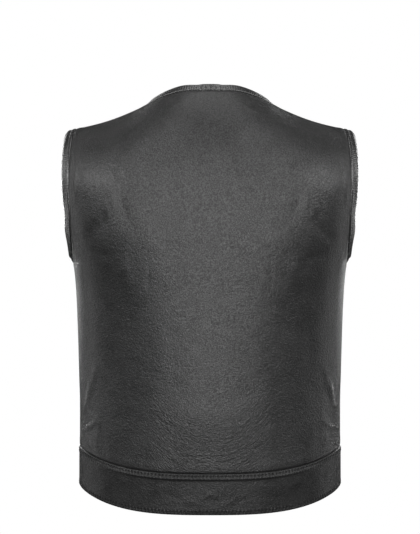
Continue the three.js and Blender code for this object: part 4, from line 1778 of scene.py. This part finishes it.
@dataclass
class Vest:
    """The whole vest: its panels, hem bands, bindings and snaps, all from one pattern."""

    pattern: Pattern = Pattern()
    thread: Thread = Thread()
    binding_thread: Thread = Thread(
        pitch=3.8, length=2.7, trough=0.6, pucker=0.3, pucker_width=3.2, points=4
    )
    snap_heights: tuple[float, ...] = (-126, -230, -334, -438, -539)
    seed: int = 11

    NAMES: ClassVar[dict[Cut, str]] = {
        Cut.BACK: "back_panel",
        Cut.LEFT: "front_left",
        Cut.RIGHT: "front_right",
    }
    BANDS: ClassVar[dict[Cut, str]] = {
        Cut.BACK: "hem_band_back",
        Cut.LEFT: "hem_band_front_left",
        Cut.RIGHT: "hem_band_front_right",
    }
    STEPS_IN = 6

    def __post_init__(self) -> None:
        """Lay out the panels and the hem bands."""
        self.panels = {cut: Panel(cut, name, self.pattern) for cut, name in self.NAMES.items()}
        self.bands = {cut: HemBand(cut, name, self.pattern, self.thread) for cut, name in self.BANDS.items()}

    def border(self, cut: Cut, rows: Iterable[int], columns: Iterable[int], inward: tuple[int, int]) -> list:
        """Read a stretch of a panel's edge.

        Args:
            cut: which panel.
            rows: the fine row of each point.
            columns: the fine column of each point.
            inward: how many rows and columns lead into the panel.

        Returns:
            The middle of the wall's cut edge, the outward directions and points further in.
        """
        panel = self.panels[cut]
        points, normals = panel.surface.points, panel.surface.normals
        r, c = np.broadcast_arrays(np.array(rows), np.array(columns))
        middle = points - normals * panel.wall / 2
        return [middle[r, c], normals[r, c], middle[r + inward[0], c + inward[1]]]

    def neck_binding(self) -> Binding:
        """Lay out the binding along the neck, from the left front's edge round to the right front's."""
        parts = []
        for cut, is_back in ((Cut.LEFT, False), (Cut.BACK, True), (Cut.RIGHT, False)):
            panel = self.panels[cut]
            last = len(panel.surface.points) - 1
            columns = np.arange(panel.neck_from, panel.neck_to + 1)
            parts.append(self.border(cut, [last], columns[::-1] if is_back else columns, (-self.STEPS_IN, 0)))
        edge = [np.concatenate(p) for p in zip(*parts)]
        binding = Binding(
            "neck_binding", self.binding_thread, width=11, thick=4, droop=0, is_loop=False, stitch_row=3.6,
            puckered=1.6,
        )
        binding.rings(*edge)
        return binding

    def armhole_binding(self, is_left: bool) -> Binding:
        """Lay out the binding round one armhole, up its back edge and down its front edge."""
        front = Cut.LEFT if is_left else Cut.RIGHT
        column, inward = (-1, -self.STEPS_IN) if is_left else (0, self.STEPS_IN)
        parts = []
        for cut, is_back in ((Cut.BACK, True), (front, False)):
            panel = self.panels[cut]
            rows = np.arange(panel.armpit, len(panel.surface.points))
            order = rows if is_back else rows[::-1]
            parts.append(self.border(cut, order, [column], (-self.STEPS_IN, inward)))
        edge = [np.concatenate(p) for p in zip(*parts)]
        name = "armhole_binding_left" if is_left else "armhole_binding_right"
        binding = Binding(name, self.binding_thread, width=14, thick=4.4, droop=16, is_loop=True)
        binding.rings(*edge)
        return binding

    def build(self) -> None:
        """Build every piece."""
        bindings = [self.neck_binding(), self.armhole_binding(True), self.armhole_binding(False)]
        sewn = [piece for binding in bindings for piece in binding.build()]
        rng = np.random.default_rng(self.seed)
        back = [*both_sides(BACK_CREASES, rng), *CENTRE_CREASES, *BACK_FAN.creases(rng)]
        front = [*both_sides(FRONT_CREASES, rng), *FRONT_FAN.creases(rng)]
        band = both_sides(BAND_CREASES, rng)
        made = {cut: panel.build(back if cut is Cut.BACK else front) for cut, panel in self.panels.items()}
        for hem in self.bands.values():
            sewn += hem.build(band)
        left = self.panels[Cut.LEFT].surface
        for i, z in enumerate(self.snap_heights):
            surface = self.bands[Cut.LEFT].surface if z < self.pattern.hem_seam_z else left
            Snap(f"snap_{i + 1}").build(surface, surface.columns[1], z)
        names = [piece.name for piece in sewn]
        back, fronts = made[Cut.BACK], (made[Cut.LEFT], made[Cut.RIGHT])
        shared = [name for name in names if "front" not in name]
        for front, side in zip(fronts, ("left", "right")):
            own = [name for name in names if f"front_{side}" in name]


def main() -> None:
    """Build the studio and the vest, and stand the camera."""
    logging.basicConfig(level=logging.INFO, format="%(message)s")
    for finish in Finish:
        MATERIALS[finish] = finish.value.material()
    studio = Studio()
    studio.build()
    Vest().build()
    studio.camera()


if __name__ == "__main__":
    main()
